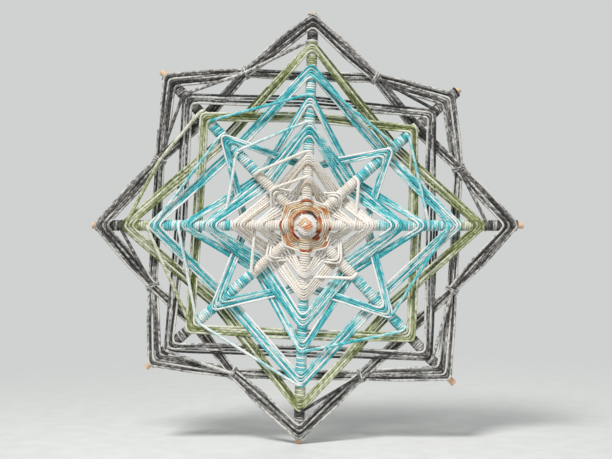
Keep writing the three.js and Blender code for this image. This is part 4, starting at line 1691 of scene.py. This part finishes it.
@dataclass
class Studio:
    """A pale floor, soft light and the camera, square to the front."""

    image: tuple[int, int] = (612, 459)
    scale: float = 0.70
    distance: float = 0.86
    aim_up: float = -2.8
    sensor: float = 36.0
    floor_level: float = -152.55
    floor_radius: float = 1.6
    floor_sides: int = 96
    floor_fade: tuple[tuple[float, str], ...] = ((0.16, "ffffff"), (0.62, "000000"))
    floor_tone: tuple[tuple[float, str], ...] = ((0.3, "cfd0ce"), (0.7, "d6d7d5"))
    floor_speck: float = 60.0
    floor_roughness: float = 0.9
    backdrop: str = "cfd2d0"
    room: tuple[float, float, float, float] = (0.97, 0.985, 1.0, 1.0)
    room_light: float = 0.24
    lamps: tuple[Lamp, ...] = (
        Lamp("key_lamp", (-0.55, -1.0, 1.45), 0.5, 37.0),
        Lamp("fill_lamp", (0.95, -1.2, 0.3), 1.2, 6.0),
        Lamp("back_lamp", (0.5, 1.4, 0.35), 1.2, 9.0),
    )

    def build(self) -> None:
        """Sets up the floor, the world, the lamps and the camera."""
        self.floor()
        self.world()
        for lamp in self.lamps:
            lamp.hang()
        self.camera()
        bpy.context.scene.view_settings.view_transform = "Standard"

    def floor(self) -> None:
        """Lays a pale floor whose far edge fades into the backdrop."""
        bpy.ops.object.select_all(action="DESELECT")
        bpy.ops.mesh.primitive_circle_add(
            vertices=self.floor_sides, radius=self.floor_radius, fill_type="NGON",
            location=(0, 0, self.floor_level * MM))
        floor = bpy.context.active_object
        floor.name = "pale_floor"
        made = bpy.data.materials.new("pale_floor")
        made.use_nodes = True
        tree = NodeTree(made.node_tree)
        place = tree.add("ShaderNodeTexCoord")
        far = tree.add("ShaderNodeVectorMath", operation="LENGTH")
        tree.link(place, "Object", far, 0)
        speck = tree.noise((place, "Object"), self.floor_speck)
        tree.link(*tree.ramp(speck, self.floor_tone), tree.shader, "Base Color")
        tree.link(*tree.ramp((far, "Value"), self.floor_fade), tree.shader, "Alpha")
        tree.shader.inputs["Roughness"].default_value = self.floor_roughness
        floor.data.materials.append(made)

    def world(self) -> None:
        """Gives the surroundings an even light, and the backdrop its pale grey."""
        world = bpy.data.worlds.new("pale_room")
        bpy.context.scene.world = world
        world.use_nodes = True
        tree = NodeTree(world.node_tree)
        seen = tree.add("ShaderNodeLightPath")
        direct = tree.math("MAXIMUM", (seen, "Is Camera Ray"), (seen, "Is Glossy Ray"))
        shown = tree.math("MAXIMUM", direct, (seen, "Is Transmission Ray"))
        mix = tree.add("ShaderNodeMixShader")
        tree.link(*shown, mix, "Fac")
        views = ((self.room, self.room_light), (linear(self.backdrop), 1.0))
        for into, (colour, strength) in enumerate(views, 1):
            view = tree.add("ShaderNodeBackground")
            view.inputs["Color"].default_value = colour
            view.inputs["Strength"].default_value = strength
            tree.link(view, "Background", mix, into)
        tree.link(mix, "Shader", world.node_tree.nodes["World Output"], "Surface")

    def camera(self) -> None:
        """Sets the camera square to the weave, at the scale of the picture."""
        data = bpy.data.cameras.new("front_camera")
        camera = bpy.data.objects.new("front_camera", data)
        bpy.context.scene.collection.objects.link(camera)
        plane = FRONT_DEPTH * MM
        data.sensor_width = self.sensor
        data.lens = self.sensor * (self.distance - plane) / (self.image[0] * self.scale * MM)
        camera.location = (0, -self.distance, self.aim_up * MM)
        camera.rotation_euler = (math.pi / 2, 0, 0)
        bpy.context.scene.camera = camera


def main() -> None:
    """Builds every piece in order."""
    logging.basicConfig(level=logging.INFO, format="%(name)s %(message)s")
    Sticks().build()
    SpokeWraps().build()
    Hub().build()
    Eye().build()
    Flower().build()
    weave = Weave()
    for band in BANDS:
        extras = [run.strand() for run in TRAVELLERS if run.band == band.name]
        weave.build(band, extras)
    Lashings().build([band for band in BANDS if band.tied])
    Studio().build()


if __name__ == "__main__":
    main()
